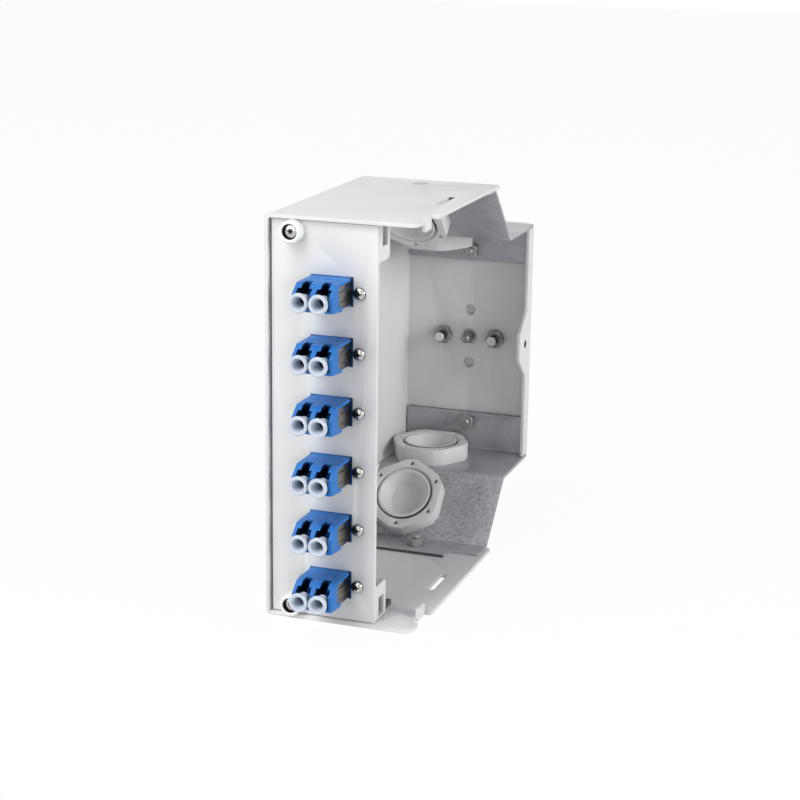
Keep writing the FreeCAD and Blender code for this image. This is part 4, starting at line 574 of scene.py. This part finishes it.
# %% [markdown]
# ## A small workshop
# Small turned and cut pieces could be typed in as lists of points. Modelling operators are used
# instead, because they do what a hand does in the viewport, so each step can be tried there. They
# act on what is selected, so every helper first clears the selection. `lathe` starts from a disc
# and extrudes its face again and again, with a new radius after each step, which is how a turned
# part grows. `block` makes a box from two corners, and `carve` cuts one piece with another.

# %% Workshop: making and cutting
def take(piece):
    bpy.ops.object.select_all(action="DESELECT")
    piece.select_set(True)
    bpy.context.view_layer.objects.active = piece


def keep_transform():
    """Writes the active piece's place, turn and scale into its mesh."""
    bpy.ops.object.transform_apply(location=True, rotation=True, scale=True)


def lathe(name, steps, around):
    """A round piece along +Z from steps of radius and height, in millimetres."""
    bpy.ops.object.select_all(action="DESELECT")
    radius, height = steps[0]
    bpy.ops.mesh.primitive_circle_add(vertices=around, radius=radius * MM, fill_type="NGON")
    piece = bpy.context.object
    piece.name = name
    bpy.ops.object.mode_set(mode="EDIT")
    bpy.ops.mesh.select_all(action="SELECT")
    bpy.ops.transform.translate(value=(0, 0, height * MM))
    for next_radius, next_height in steps[1:]:
        rise = (0, 0, (next_height - height) * MM)
        bpy.ops.mesh.extrude_region_move(TRANSFORM_OT_translate={"value": rise})
        ratio = next_radius / radius
        middle = (0, 0, next_height * MM)
        bpy.ops.transform.resize(value=(ratio, ratio, 1), center_override=middle)
        radius, height = next_radius, next_height
    bpy.ops.mesh.select_all(action="SELECT")
    bpy.ops.mesh.normals_make_consistent(inside=False)
    bpy.ops.object.mode_set(mode="OBJECT")
    return piece


def block(low, high):
    """A box between two corners, in millimetres."""
    bpy.ops.object.select_all(action="DESELECT")
    bpy.ops.mesh.primitive_cube_add(size=1.0)
    piece = bpy.context.object
    piece.scale = [(b - a) * MM for a, b in zip(low, high)]
    piece.location = [(a + b) / 2 * MM for a, b in zip(low, high)]
    keep_transform()
    return piece


def apply_modifier(piece, kind, **settings):
    modifier = piece.modifiers.new("step", kind)
    for name, value in settings.items():
        setattr(modifier, name, value)
    take(piece)
    bpy.ops.object.modifier_apply(modifier=modifier.name)


def carve(piece, tool, operation="DIFFERENCE"):
    apply_modifier(piece, "BOOLEAN", object=tool, operation=operation, solver="EXACT")
    bpy.data.objects.remove(tool)


# %% [markdown]
# What repeats is modelled once at the origin and copied. Linked copies would share one mesh, but
# each place needs its own here, since `settle` writes place and direction into the mesh itself.
# `second_finish` gives chosen faces one more material, and `hand_over` hangs a piece on the body
# that it rides on and hides the node that it stands for.

# %% Workshop: copying and handing over
FRONT = (0, -1, 0)


def smooth(piece, degrees):
    take(piece)
    bpy.ops.object.shade_smooth_by_angle(angle=math.radians(degrees))


def twin(piece, name):
    other = piece.copy()
    other.data = piece.data.copy()
    other.name = name
    bpy.context.scene.collection.objects.link(other)
    return other


def settle(piece, place, facing):
    """Turns a piece from +Z to a direction and moves it, both inside its mesh. Metres."""
    take(piece)
    piece.rotation_mode = "QUATERNION"
    piece.rotation_quaternion = Vector(facing).to_track_quat("Z", "Y")
    piece.location = place
    keep_transform()


def second_finish(piece, finish, test):
    """One more finish, on faces whose middle, in millimetres, and normal pass the test."""
    materials = piece.data.materials
    if len(materials) < 2:
        materials.clear()
        materials.append(finish)
    materials.append(finish)
    for face in piece.data.polygons:
        if test(face.center / MM, face.normal):
            face.material_index = len(materials) - 1


def hand_over(piece, body, node):
    """Gives the finish, hangs the piece on the body that it rides on, and hides the node that it
    stands for.
    """
    if len(piece.data.materials) > 1:
        piece.data.materials[0] = finishes[slot_of[node]]
    else:
        piece.data.materials.clear()
        piece.data.materials.append(finishes[slot_of[node]])
    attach(piece, body)
    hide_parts(node)


print("workshop ready, most pieces face", FRONT)

# %% [markdown]
# ## Dust caps
# A dust cap is one moulding: a round grip in front of the adapter and a square plug inside the
# port, with one bore from the front. The grip has a thick round rim and a slim neck behind it, so
# the adapter's latch slots stay in view. The bore could be cut at the end, but its flared mouth is
# part of the rim's curve. So the lathe goes round the rim and down the bore in one go. The square
# plug is bored with the same steps and joined on, and the cap is copied to the twelve ports.

# %% Dust caps: the model
SQUARE = 4.5
GRIP = 3.6
TAIL = 6.3
SET_BACK = 2.0
CAP_STEPS = [(1.85, -2.4), (1.85, 1.6), (2.1, 1.95), (2.75, 2.15), (3.02, 2.4), (3.08, 2.75),
             (3.05, 3.1), (2.92, 3.4), (2.7, 3.56), (2.42, GRIP), (2.2, 3.54), (2.05, 3.38),
             (1.95, 3.1), (1.5, 1.7), (1.45, 0.6), (1.35, -2.9), (1.0, -3.4)]
BORE_STEPS = [(1.0, -3.4), (1.35, -2.9), (1.45, 0.6), (1.45, 1.0)]


def in_bore(c, n):
    return c.xy.length < 2.0 and -3.5 < c.z < 3.2 and n.z > -0.5


cap = lathe("cap_model", CAP_STEPS, 48)
plug = block((-SQUARE / 2, -SQUARE / 2, -TAIL), (SQUARE / 2, SQUARE / 2, -SET_BACK))
apply_modifier(plug, "BEVEL", width=0.35 * MM, segments=2, limit_method="ANGLE")
carve(plug, lathe("bore", BORE_STEPS, 48))
carve(cap, plug, "UNION")
# Painted shade: the bore is darker than the rest of the cap.
second_finish(cap, cap_bore, in_bore)
smooth(cap, 40)
print("cap model", len(cap.data.polygons), "faces")

# %% Dust caps: twelve copies
ROWS = range(1, 7)

for row in ROWS:
    for side in ("left", "right"):
        node = "dust_cap_%d_%s" % (row, side)
        box_low, box_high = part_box(node)
        axis_x = (box_low[0] + box_high[0]) / 2
        front = box_low[1]
        height = (box_low[2] + box_high[2]) / 2
        piece = twin(cap, "cap_%d_%s" % (row, side))
        settle(piece, (axis_x, front + GRIP * MM, height), FRONT)
        hand_over(piece, node, node)
bpy.data.objects.remove(cap)
print("12 dust caps,", round((box_high[1] - box_low[1]) / MM, 2), "mm long")

# %% [markdown]
# ## Adapter screws
# Two small pan-head screws hold each adapter. Their cross recess is what the eye catches. A bump
# could fake it, but it would stay flat at the edge of the head and in the exported mesh. So it is
# really cut in, with a tapered slot turned by a quarter for the second arm. The dome of the head
# comes from a few steps of the lathe, and one screw serves for all twelve places.

# %% Cutting a recess
TAPER = 0.55


def slot_tool(length, width, depth, top):
    """A tapered bar for recesses, standing in the surface at the height of top."""
    tool = block((-length / 2, -width / 2, top - depth), (length / 2, width / 2, top + depth))
    bpy.ops.object.mode_set(mode="EDIT")
    bpy.ops.mesh.select_all(action="DESELECT")
    bpy.ops.object.mode_set(mode="OBJECT")
    for vertex in tool.data.vertices:
        vertex.select = vertex.co.z < top * MM
    bpy.ops.object.mode_set(mode="EDIT")
    bpy.ops.transform.resize(value=(TAPER, TAPER, 1), center_override=(0, 0, top * MM))
    bpy.ops.object.mode_set(mode="OBJECT")
    return tool


def cut_recess(piece, arms, length, width, depth, top):
    """Cuts a star of slots into a head that faces +Z."""
    for number in range(arms):
        tool = slot_tool(length, width, depth, top)
        tool.rotation_euler = (0, 0, math.pi * number / arms)
        take(tool)
        keep_transform()
        carve(piece, tool)


# %% Adapter screws
HEAD_RISE = 1.2
HEAD_RADIUS = 1.95

low_box, high_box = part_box("adapter_screws")
length = (high_box[1] - low_box[1]) / MM - HEAD_RISE
screw = lathe("screw_model", [(0.7, -length), (1.0, 0.4 - length), (1.0, 0), (1.85, 0),
                              (HEAD_RADIUS, 0.12), (1.9, 0.45), (1.7, 0.75), (1.35, 1.0),
                              (0.9, 1.14), (0.4, HEAD_RISE)], 40)
cut_recess(screw, 2, 2.5, 0.7, 0.95, HEAD_RISE)
# Painted shade: the shank and the faces of the cross recess turn nearly black.
second_finish(screw, painted_recess_shade, lambda c, n: c.z < 0.3 or (n.z < 0.6 and c.xy.length < 1.3))
smooth(screw, 40)
top_row = high_box[2] - HEAD_RADIUS * MM
row_pitch = (high_box[2] - low_box[2] - 2 * HEAD_RADIUS * MM) / (len(ROWS) - 1)
half = (high_box[0] - low_box[0]) / 2 - HEAD_RADIUS * MM
for row in ROWS:
    adapter_low, adapter_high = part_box("lc_adapter_%d" % row)
    middle_x = (adapter_low[0] + adapter_high[0]) / 2
    height = top_row - (row - 1) * row_pitch
    for side, sign in (("left", -1), ("right", 1)):
        piece = twin(screw, "adapter_screw_%d_%s" % (row, side))
        settle(piece, (middle_x + sign * half, low_box[1] + HEAD_RISE * MM, height), FRONT)
        hand_over(piece, "case", "adapter_screws")
bpy.data.objects.remove(screw)
print("12 adapter screws, shank", round(length, 2), "mm, rows", round(row_pitch / MM, 2), "mm")

# %% [markdown]
# ## Captive screws
# The panel is held by two captive screws with a six-lobed recess. A real one has round lobes,
# which could be drawn as an outline and cut. At a few pixels across only the star is seen, so
# three slots at 60 degrees make the six lobes, with the tool that cuts the cross.

# %% Captive screws
CAPTIVE_RISE = 1.6
CAPTIVE_RADIUS = 2.15

low_box, high_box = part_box("captive_screws")
length = (high_box[1] - low_box[1]) / MM - CAPTIVE_RISE
screw = lathe("captive_model", [(1.1, -length), (1.5, 0.4 - length), (1.5, 0), (2.1, 0),
                                (CAPTIVE_RADIUS, 0.2), (CAPTIVE_RADIUS, 1.25), (2.08, 1.48),
                                (1.9, CAPTIVE_RISE)], 48)
cut_recess(screw, 3, 2.3, 0.55, 1.1, CAPTIVE_RISE)
# Painted shade: the recess and the head's lower side, down in the collar, turn nearly black.
second_finish(screw, painted_recess_shade, lambda c, n: c.z < 1.1 or (n.z < 0.6 and c.xy.length < 1.3))
smooth(screw, 40)
middle_x = (low_box[0] + high_box[0]) / 2
heights = {"upper": high_box[2] - CAPTIVE_RADIUS * MM, "lower": low_box[2] + CAPTIVE_RADIUS * MM}
for name, height in heights.items():
    piece = twin(screw, name + "_captive_screw")
    settle(piece, (middle_x, low_box[1] + CAPTIVE_RISE * MM, height), FRONT)
    hand_over(piece, "case", "captive_screws")
bpy.data.objects.remove(screw)
print("2 captive screws, shank", round(length, 2), "mm")

# %% [markdown]
# ## Screw collars
# Each captive screw is sunk into a white collar. A cylinder with a hole would do, but the collar's
# rounded rim is what shows. So it is turned like a cap, over its rim and down its bore. Its two
# end discs are then taken out and the open rings bridged, which makes it a tube.

# %% Screw collars
collar_low, collar_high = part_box("screw_collars")
deep = (collar_high[1] - collar_low[1]) / MM
collar = lathe("collar_model", [(2.5, -deep), (2.5, -3.8), (3.6, -3.8), (3.5, -0.7),
                                (3.38, -0.28), (3.15, -0.05), (2.85, 0), (2.62, -0.04),
                                (2.48, -0.2), (2.42, -0.5), (2.42, -2.6), (1.75, -2.6),
                                (1.75, -deep)], 48)
take(collar)
bpy.ops.object.mode_set(mode="EDIT")
bpy.ops.mesh.select_all(action="DESELECT")
bpy.ops.object.mode_set(mode="OBJECT")
for face in collar.data.polygons:
    face.select = len(face.vertices) > 4
bpy.ops.object.mode_set(mode="EDIT")
bpy.ops.mesh.select_mode(type="FACE")
bpy.ops.mesh.delete(type="FACE")
bpy.ops.mesh.select_mode(type="EDGE")
bpy.ops.mesh.select_all(action="DESELECT")
bpy.ops.mesh.select_non_manifold()
bpy.ops.mesh.bridge_edge_loops()
bpy.ops.mesh.select_all(action="SELECT")
bpy.ops.mesh.normals_make_consistent(inside=False)
bpy.ops.object.mode_set(mode="OBJECT")
# Painted shade: the collar's bore round the screw head turns nearly black.
second_finish(collar, painted_recess_shade, lambda c, n: c.xy.length < 2.45 and c.z < -0.45)
smooth(collar, 40)
for name, height in heights.items():
    piece = twin(collar, name + "_collar")
    settle(piece, (middle_x, collar_low[1], height), FRONT)
    hand_over(piece, "case", "screw_collars")
bpy.data.objects.remove(collar)
print("2 collars", round(deep, 2), "mm deep")

# %% [markdown]
# ## Nuts and threaded ends
# A hexagon nut is a six-sided bar whose corners are turned off at both ends. A bevel would take
# the same from every edge, while a real nut loses only its corners. So a six-sided prism is cut
# with a double cone, and bored. A thread could be a real helix, but one this small reads as fine
# rings, so the lathe makes a groove for each turn.

# %% Nuts and threaded ends
def hex_nut(name, flats, height, bore, turn):
    """A nut that stands on the origin. The turn is in degrees."""
    bpy.ops.object.select_all(action="DESELECT")
    corners = flats / math.sqrt(3) * MM
    bpy.ops.mesh.primitive_cylinder_add(vertices=6, radius=corners, depth=height * MM)
    nut = bpy.context.object
    nut.name = name
    nut.location = (0, 0, height / 2 * MM)
    nut.rotation_euler = (0, 0, math.radians(turn))
    keep_transform()
    slope = 0.07 * flats
    inner, outer = 0.485 * flats, 0.6 * flats
    cone = [(inner, 0), (outer, slope), (outer, height - slope), (inner, height)]
    carve(nut, lathe("cone", cone, 48), "INTERSECT")
    mouth = bore / 2 + 0.25
    hole = [(mouth, -0.01), (bore / 2, 0.25), (bore / 2, height - 0.25), (mouth, height + 0.01)]
    carve(nut, lathe("hole", hole, 32))
    smooth(nut, 25)
    return nut


def threaded(name, head, shank, length, pitch, groove=None):
    """A shank that grows along +Z from its head, with a groove for each turn and a bevelled end."""
    steps = list(head)
    height = head[-1][1]
    crest, root = shank / 2, shank / 2 - 0.55 * pitch
    while height + pitch < length - 0.3:
        steps += [(crest, height + 0.15 * pitch), (root, height + 0.5 * pitch)]
        steps.append((crest, height + 0.85 * pitch))
        height += pitch
    steps += [(crest, length - 0.25), (crest - 0.2, length)]
    piece = lathe(name, steps, 32)
    # A groove finish, such as the near-black painted shade, goes on the whole threaded length.
    if groove is not None:
        second_finish(piece, groove, lambda c, n: head[-1][1] < c.z < length - 0.2)
    smooth(piece, 25)
    return piece


# %% [markdown]
# Four studs pressed into the plates and the back wall hold the gland brackets. Their heads lie
# flush in the sheet, so only the threaded end with its nut shows. Their places are read from the
# boxes of the nodes that they stand for, so nothing has to be fitted by eye.

# %% Nuts and studs of the gland brackets
STUD_FLATS = 5.5
STUD_SIZE = 3.0
FLANGE_MIDDLE = 3.6

nut_low, nut_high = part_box("bracket_nuts")
stud_low, stud_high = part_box("bracket_studs")
corner = STUD_FLATS / math.sqrt(3) * MM
plate_x, plate_y = nut_low[0] + corner, nut_low[1] + STUD_FLATS / 2 * MM
wall_x = nut_high[0] - corner
middle_z = (stud_low[2] + stud_high[2]) / 2
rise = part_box("upper_gland_bracket")[0][2] + FLANGE_MIDDLE * MM - middle_z
nut = hex_nut("nut_model", STUD_FLATS, 2.4, STUD_SIZE + 0.1, 0)
stud = threaded("stud_model", [(2.9, 0), (2.9, 0.6), (STUD_SIZE / 2, 0.6)], STUD_SIZE, 5.6, 0.5)
spots = [
    ("plate_upper", (plate_x, plate_y, nut_high[2]), (plate_x, plate_y, stud_high[2]), (0, 0, -1)),
    ("plate_lower", (plate_x, plate_y, nut_low[2]), (plate_x, plate_y, stud_low[2]), (0, 0, 1)),
]
for name, z in (("wall_upper", middle_z + rise), ("wall_lower", middle_z - rise)):
    spots.append((name, (wall_x, nut_high[1], z), (wall_x, stud_high[1], z), FRONT))
for name, nut_place, stud_place, facing in spots:
    for model, kind, place in ((nut, "nut", nut_place), (stud, "stud", stud_place)):
        piece = twin(model, kind + "_" + name)
        settle(piece, place, facing)
        hand_over(piece, "case", "bracket_%ss" % kind)
        piece.data.materials[0] = stud_zinc
bpy.data.objects.remove(nut)
bpy.data.objects.remove(stud)
print("4 studs with nuts, wall studs", round(rise / MM, 2), "mm from mid height")

# %% [markdown]
# Two bolts hold the rail clip behind the back wall, and their ends with the nuts show inside. The
# photo shows a small star in the right-hand end, so that bolt is a copy with a shallow recess.

# %% Bolts of the rail clip
BOLT_SIZE = 3.5
BOLT_HEAD = 3.5

bolt_low, bolt_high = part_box("clip_bolts")
nut_low, nut_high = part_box("clip_nuts")
length = (bolt_high[1] - bolt_low[1]) / MM
nut = hex_nut("clip_nut_model", 6.0, (nut_high[1] - nut_low[1]) / MM, BOLT_SIZE + 0.1, 30)
bolt = threaded("bolt_model", [(BOLT_HEAD, 0), (BOLT_SIZE / 2, BOLT_HEAD - BOLT_SIZE / 2)],
                BOLT_SIZE, length, 0.6, painted_recess_shade)
starred = twin(bolt, "bolt_with_star")
cut_recess(starred, 3, 1.5, 0.34, 0.25, length)
middle_x = (bolt_low[0] + bolt_high[0]) / 2
half = (bolt_high[0] - bolt_low[0]) / 2 - BOLT_HEAD * MM
height = (bolt_low[2] + bolt_high[2]) / 2
for side, sign, model in (("left", -1, bolt), ("right", 1, starred)):
    piece = twin(nut, "clip_nut_" + side)
    settle(piece, (middle_x + sign * half, nut_high[1], height), FRONT)
    hand_over(piece, "case", "clip_nuts")
    piece = twin(model, "clip_bolt_" + side)
    settle(piece, (middle_x + sign * half, bolt_high[1], height), FRONT)
    hand_over(piece, "case", "clip_bolts")
    piece.data.materials[0] = bolt_zinc
for model in (nut, bolt, starred):
    bpy.data.objects.remove(model)
print("2 bolts with nuts", round(length, 2), "mm long")

# %% [markdown]
# ## Softer edges
# Nothing on the real box has a perfectly sharp edge: the powder coat rounds the sheet's rim, and
# moulded plastic has small radii. Such an edge catches a thin line of light. A Bevel node in the
# shader could fake it, but only in the render. So a copy of each visible sheet and moulding is
# merged into one closed skin, its flat faces are joined, and a narrow bevel goes on every edge
# sharper than 40 degrees. Faces that lie in deep shade on the real box get a dark finish first.

# %% Softer edges
def soften(node, width, dark, test, finish=None, tools=()):
    """A copy of a node, cut with the tools, with painted shade where the test says, and rounded
    edges.
    """
    piece = twin(nodes[node], node + "_soft")
    take(piece)
    bpy.ops.mesh.customdata_custom_splitnormals_clear()
    bpy.ops.object.mode_set(mode="EDIT")
    bpy.ops.mesh.select_all(action="SELECT")
    bpy.ops.mesh.remove_doubles(threshold=0.002 * MM)
    bpy.ops.mesh.dissolve_limited(angle_limit=math.radians(0.5))
    bpy.ops.object.mode_set(mode="OBJECT")
    for tool in tools:
        carve(piece, tool)
    second_finish(piece, dark, test)
    apply_modifier(piece, "BEVEL", width=width * MM, segments=2, limit_method="ANGLE",
                   angle_limit=math.radians(40), use_clamp_overlap=True)
    smooth(piece, 30)
    hand_over(piece, "case", node)
    if finish is not None:
        piece.data.materials[0] = finish
    print(node, len(piece.data.polygons), "faces")
    return piece


# %% Case and panel
SHEET_BEVEL = 0.22
COVER_HOLE_Y, COVER_HOLE_Z = 84.2, 65.6
SLOT_X, SLOT_Y = 18.15, 3.2


def housing_shade(c, n):
    """The wall of the small hole in the back lip and the far end of the top plate's long slot."""
    near_hole = (c.y - COVER_HOLE_Y) ** 2 + (c.z - COVER_HOLE_Z) ** 2 < 3.0
    near_slot = abs(c.x - SLOT_X) < 1.3 and abs(c.y - SLOT_Y) < 7.8
    return (c.x > 23 and near_hole and abs(n.x) < 0.3) or (near_slot and c.z > 100 and n.y < -0.5)


def panel_gap(c, n):
    """The panel's left edge, deep in the gap beside the side wall."""
    return n.x < -0.9 and c.x < -22


# Painted shade: the wall of the hole in the back lip, the far end of the top slot and the panel's
# left edge in its gap.
soften("housing", SHEET_BEVEL, painted_shade_coat, housing_shade, welded_paint)
soften("front_panel", SHEET_BEVEL, painted_shade_coat, panel_gap)

# %% [markdown]
# The gland brackets' cut edges get painted shade as thin dark lines, and the locknuts and plugs get
# a dark ring of painted shade where their threads meet. The threads could be cut, but they are
# hidden inside the ring, so their faces only get that painted shade. The distance from the entry's
# axis finds them.

# %% Gland brackets, locknuts and plugs
def around_axis(middle, axis, inside, outside):
    """A test for faces that lie round an axis, between two distances from it in millimetres."""
    def test(c, n):
        away = c - middle
        distance = (away - away.dot(axis) * axis).length
        return abs(n.dot(axis)) < 0.3 and inside < distance < outside
    return test


for side, sign in (("upper", 1), ("lower", -1)):
    bracket_low, bracket_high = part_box(side + "_gland_bracket")
    back_end = (bracket_low[2] if side == "upper" else bracket_high[2]) / MM
    front_end = bracket_low[1] / MM

    def cut_edge(c, n):
        return abs(c.z - back_end) < 0.1 or (n.y < -0.9 and c.y < front_end + 2.5)

    # Painted shade on the bracket's cut edges.
    bracket = soften(side + "_gland_bracket", 0.12, zinc_edge_shade, cut_edge)
    if side == "lower":
        # Painted glint: the lower slope gets the coarser, stronger fleck.
        second_finish(bracket, zinc_with_painted_glint, lambda c, n: abs(n.y) > 0.6 and abs(n.z) > 0.6)
    for entry in ("facet", "ledge"):
        locknut = "%s_%s_locknut" % (side, entry)
        low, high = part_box(locknut)
        middle = (low + high) / 2 / MM
        axis = Vector((0, 0, 1)) if entry == "ledge" else Vector((0, -1, -sign)).normalized()
        # Painted shade: the locknut's bore and the plug's thread ring, where the two meet.
        soften(locknut, 0.35, painted_shade_coat, around_axis(middle, axis, -1.0, 9.95))
        thread = around_axis(middle, axis, 9.4, 9.75)
        soften("%s_%s_plug" % (side, entry), 0.2, painted_shade_coat, thread)

# %% [markdown]
# ## Adapters
# On the real adapters the two latch slots reach further back over the top than the solid model's
# ports do, and three short moulded ticks cross the top. The adapters could be modelled anew, but
# their ports and flanges already fit the caps and screws. So boxes cut slots and ticks into the
# softened copies, and those faces, the ports and the flange's side get a near-black painted shade.

# %% Adapters
PORT_OFFSET = 3.125
LATCH_SLOT = 1.3
TICKS = (-5.6, -2.7, 0.5)
TICK_FRONT, TICK_BACK = -46.2, -45.7

for row in ROWS:
    low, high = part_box("lc_adapter_%d" % row)
    front, top = low[1] / MM, high[2] / MM
    middle_x = (low[0] + high[0]) / 2 / MM
    ports = (middle_x - PORT_OFFSET, middle_x + PORT_OFFSET)
    tools = []
    for x in ports:
        tools.append(block((x - LATCH_SLOT, front - 1, top - 2.2),
                           (x + LATCH_SLOT, front + 7.2, top + 1)))
    for x in TICKS:
        tools.append(block((x - 0.6, TICK_FRONT, top - 0.2), (x + 0.6, TICK_BACK, top + 1)))

    # Painted shade: the flange's side, the ticks' floors and faces inside ports and slots.
    def dark_part(c, n):
        flange_side = n.x > 0.9 and -41.9 < c.y < -40.2
        beside_port = min(abs(c.x - x) for x in ports)
        inside = beside_port < 2.4 and front + 0.05 < c.y < -40.5 and c.z < top - 0.1
        in_tick = n.z > 0.9 and top - 0.3 < c.z < top - 0.1
        return flange_side or in_tick or (inside and n.y > -0.1 and n.z > -0.9)

    soften("lc_adapter_%d" % row, 0.15, painted_adapter_shade, dark_part, tools=tools)

# %% [markdown]
# ## The latch spring
# The rail latch slides 4 mm down and squeezes its spring against a fixed tab. A spring could be
# bent with an armature, but this one only gets shorter. Here it is a copy of the solid model's
# coil that stays with the case, with smooth shading and a mesh of its own, and its length is
# measured.

# %% Latch spring
low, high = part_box("clip_spring")
coil = twin(nodes["clip_spring"], "latch_spring")
smooth(coil, 40)
hand_over(coil, "case", "clip_spring")
length = (high[2] - low[2]) / MM
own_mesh(coil)

# %% [markdown]
# ## Sizes
# The finished object must be as large as the solid one. So its box is measured once more, and both
# boxes are written down, from before and after the work.

# %% Sizes
low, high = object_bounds()
print("from", tuple(low), "to", tuple(high))
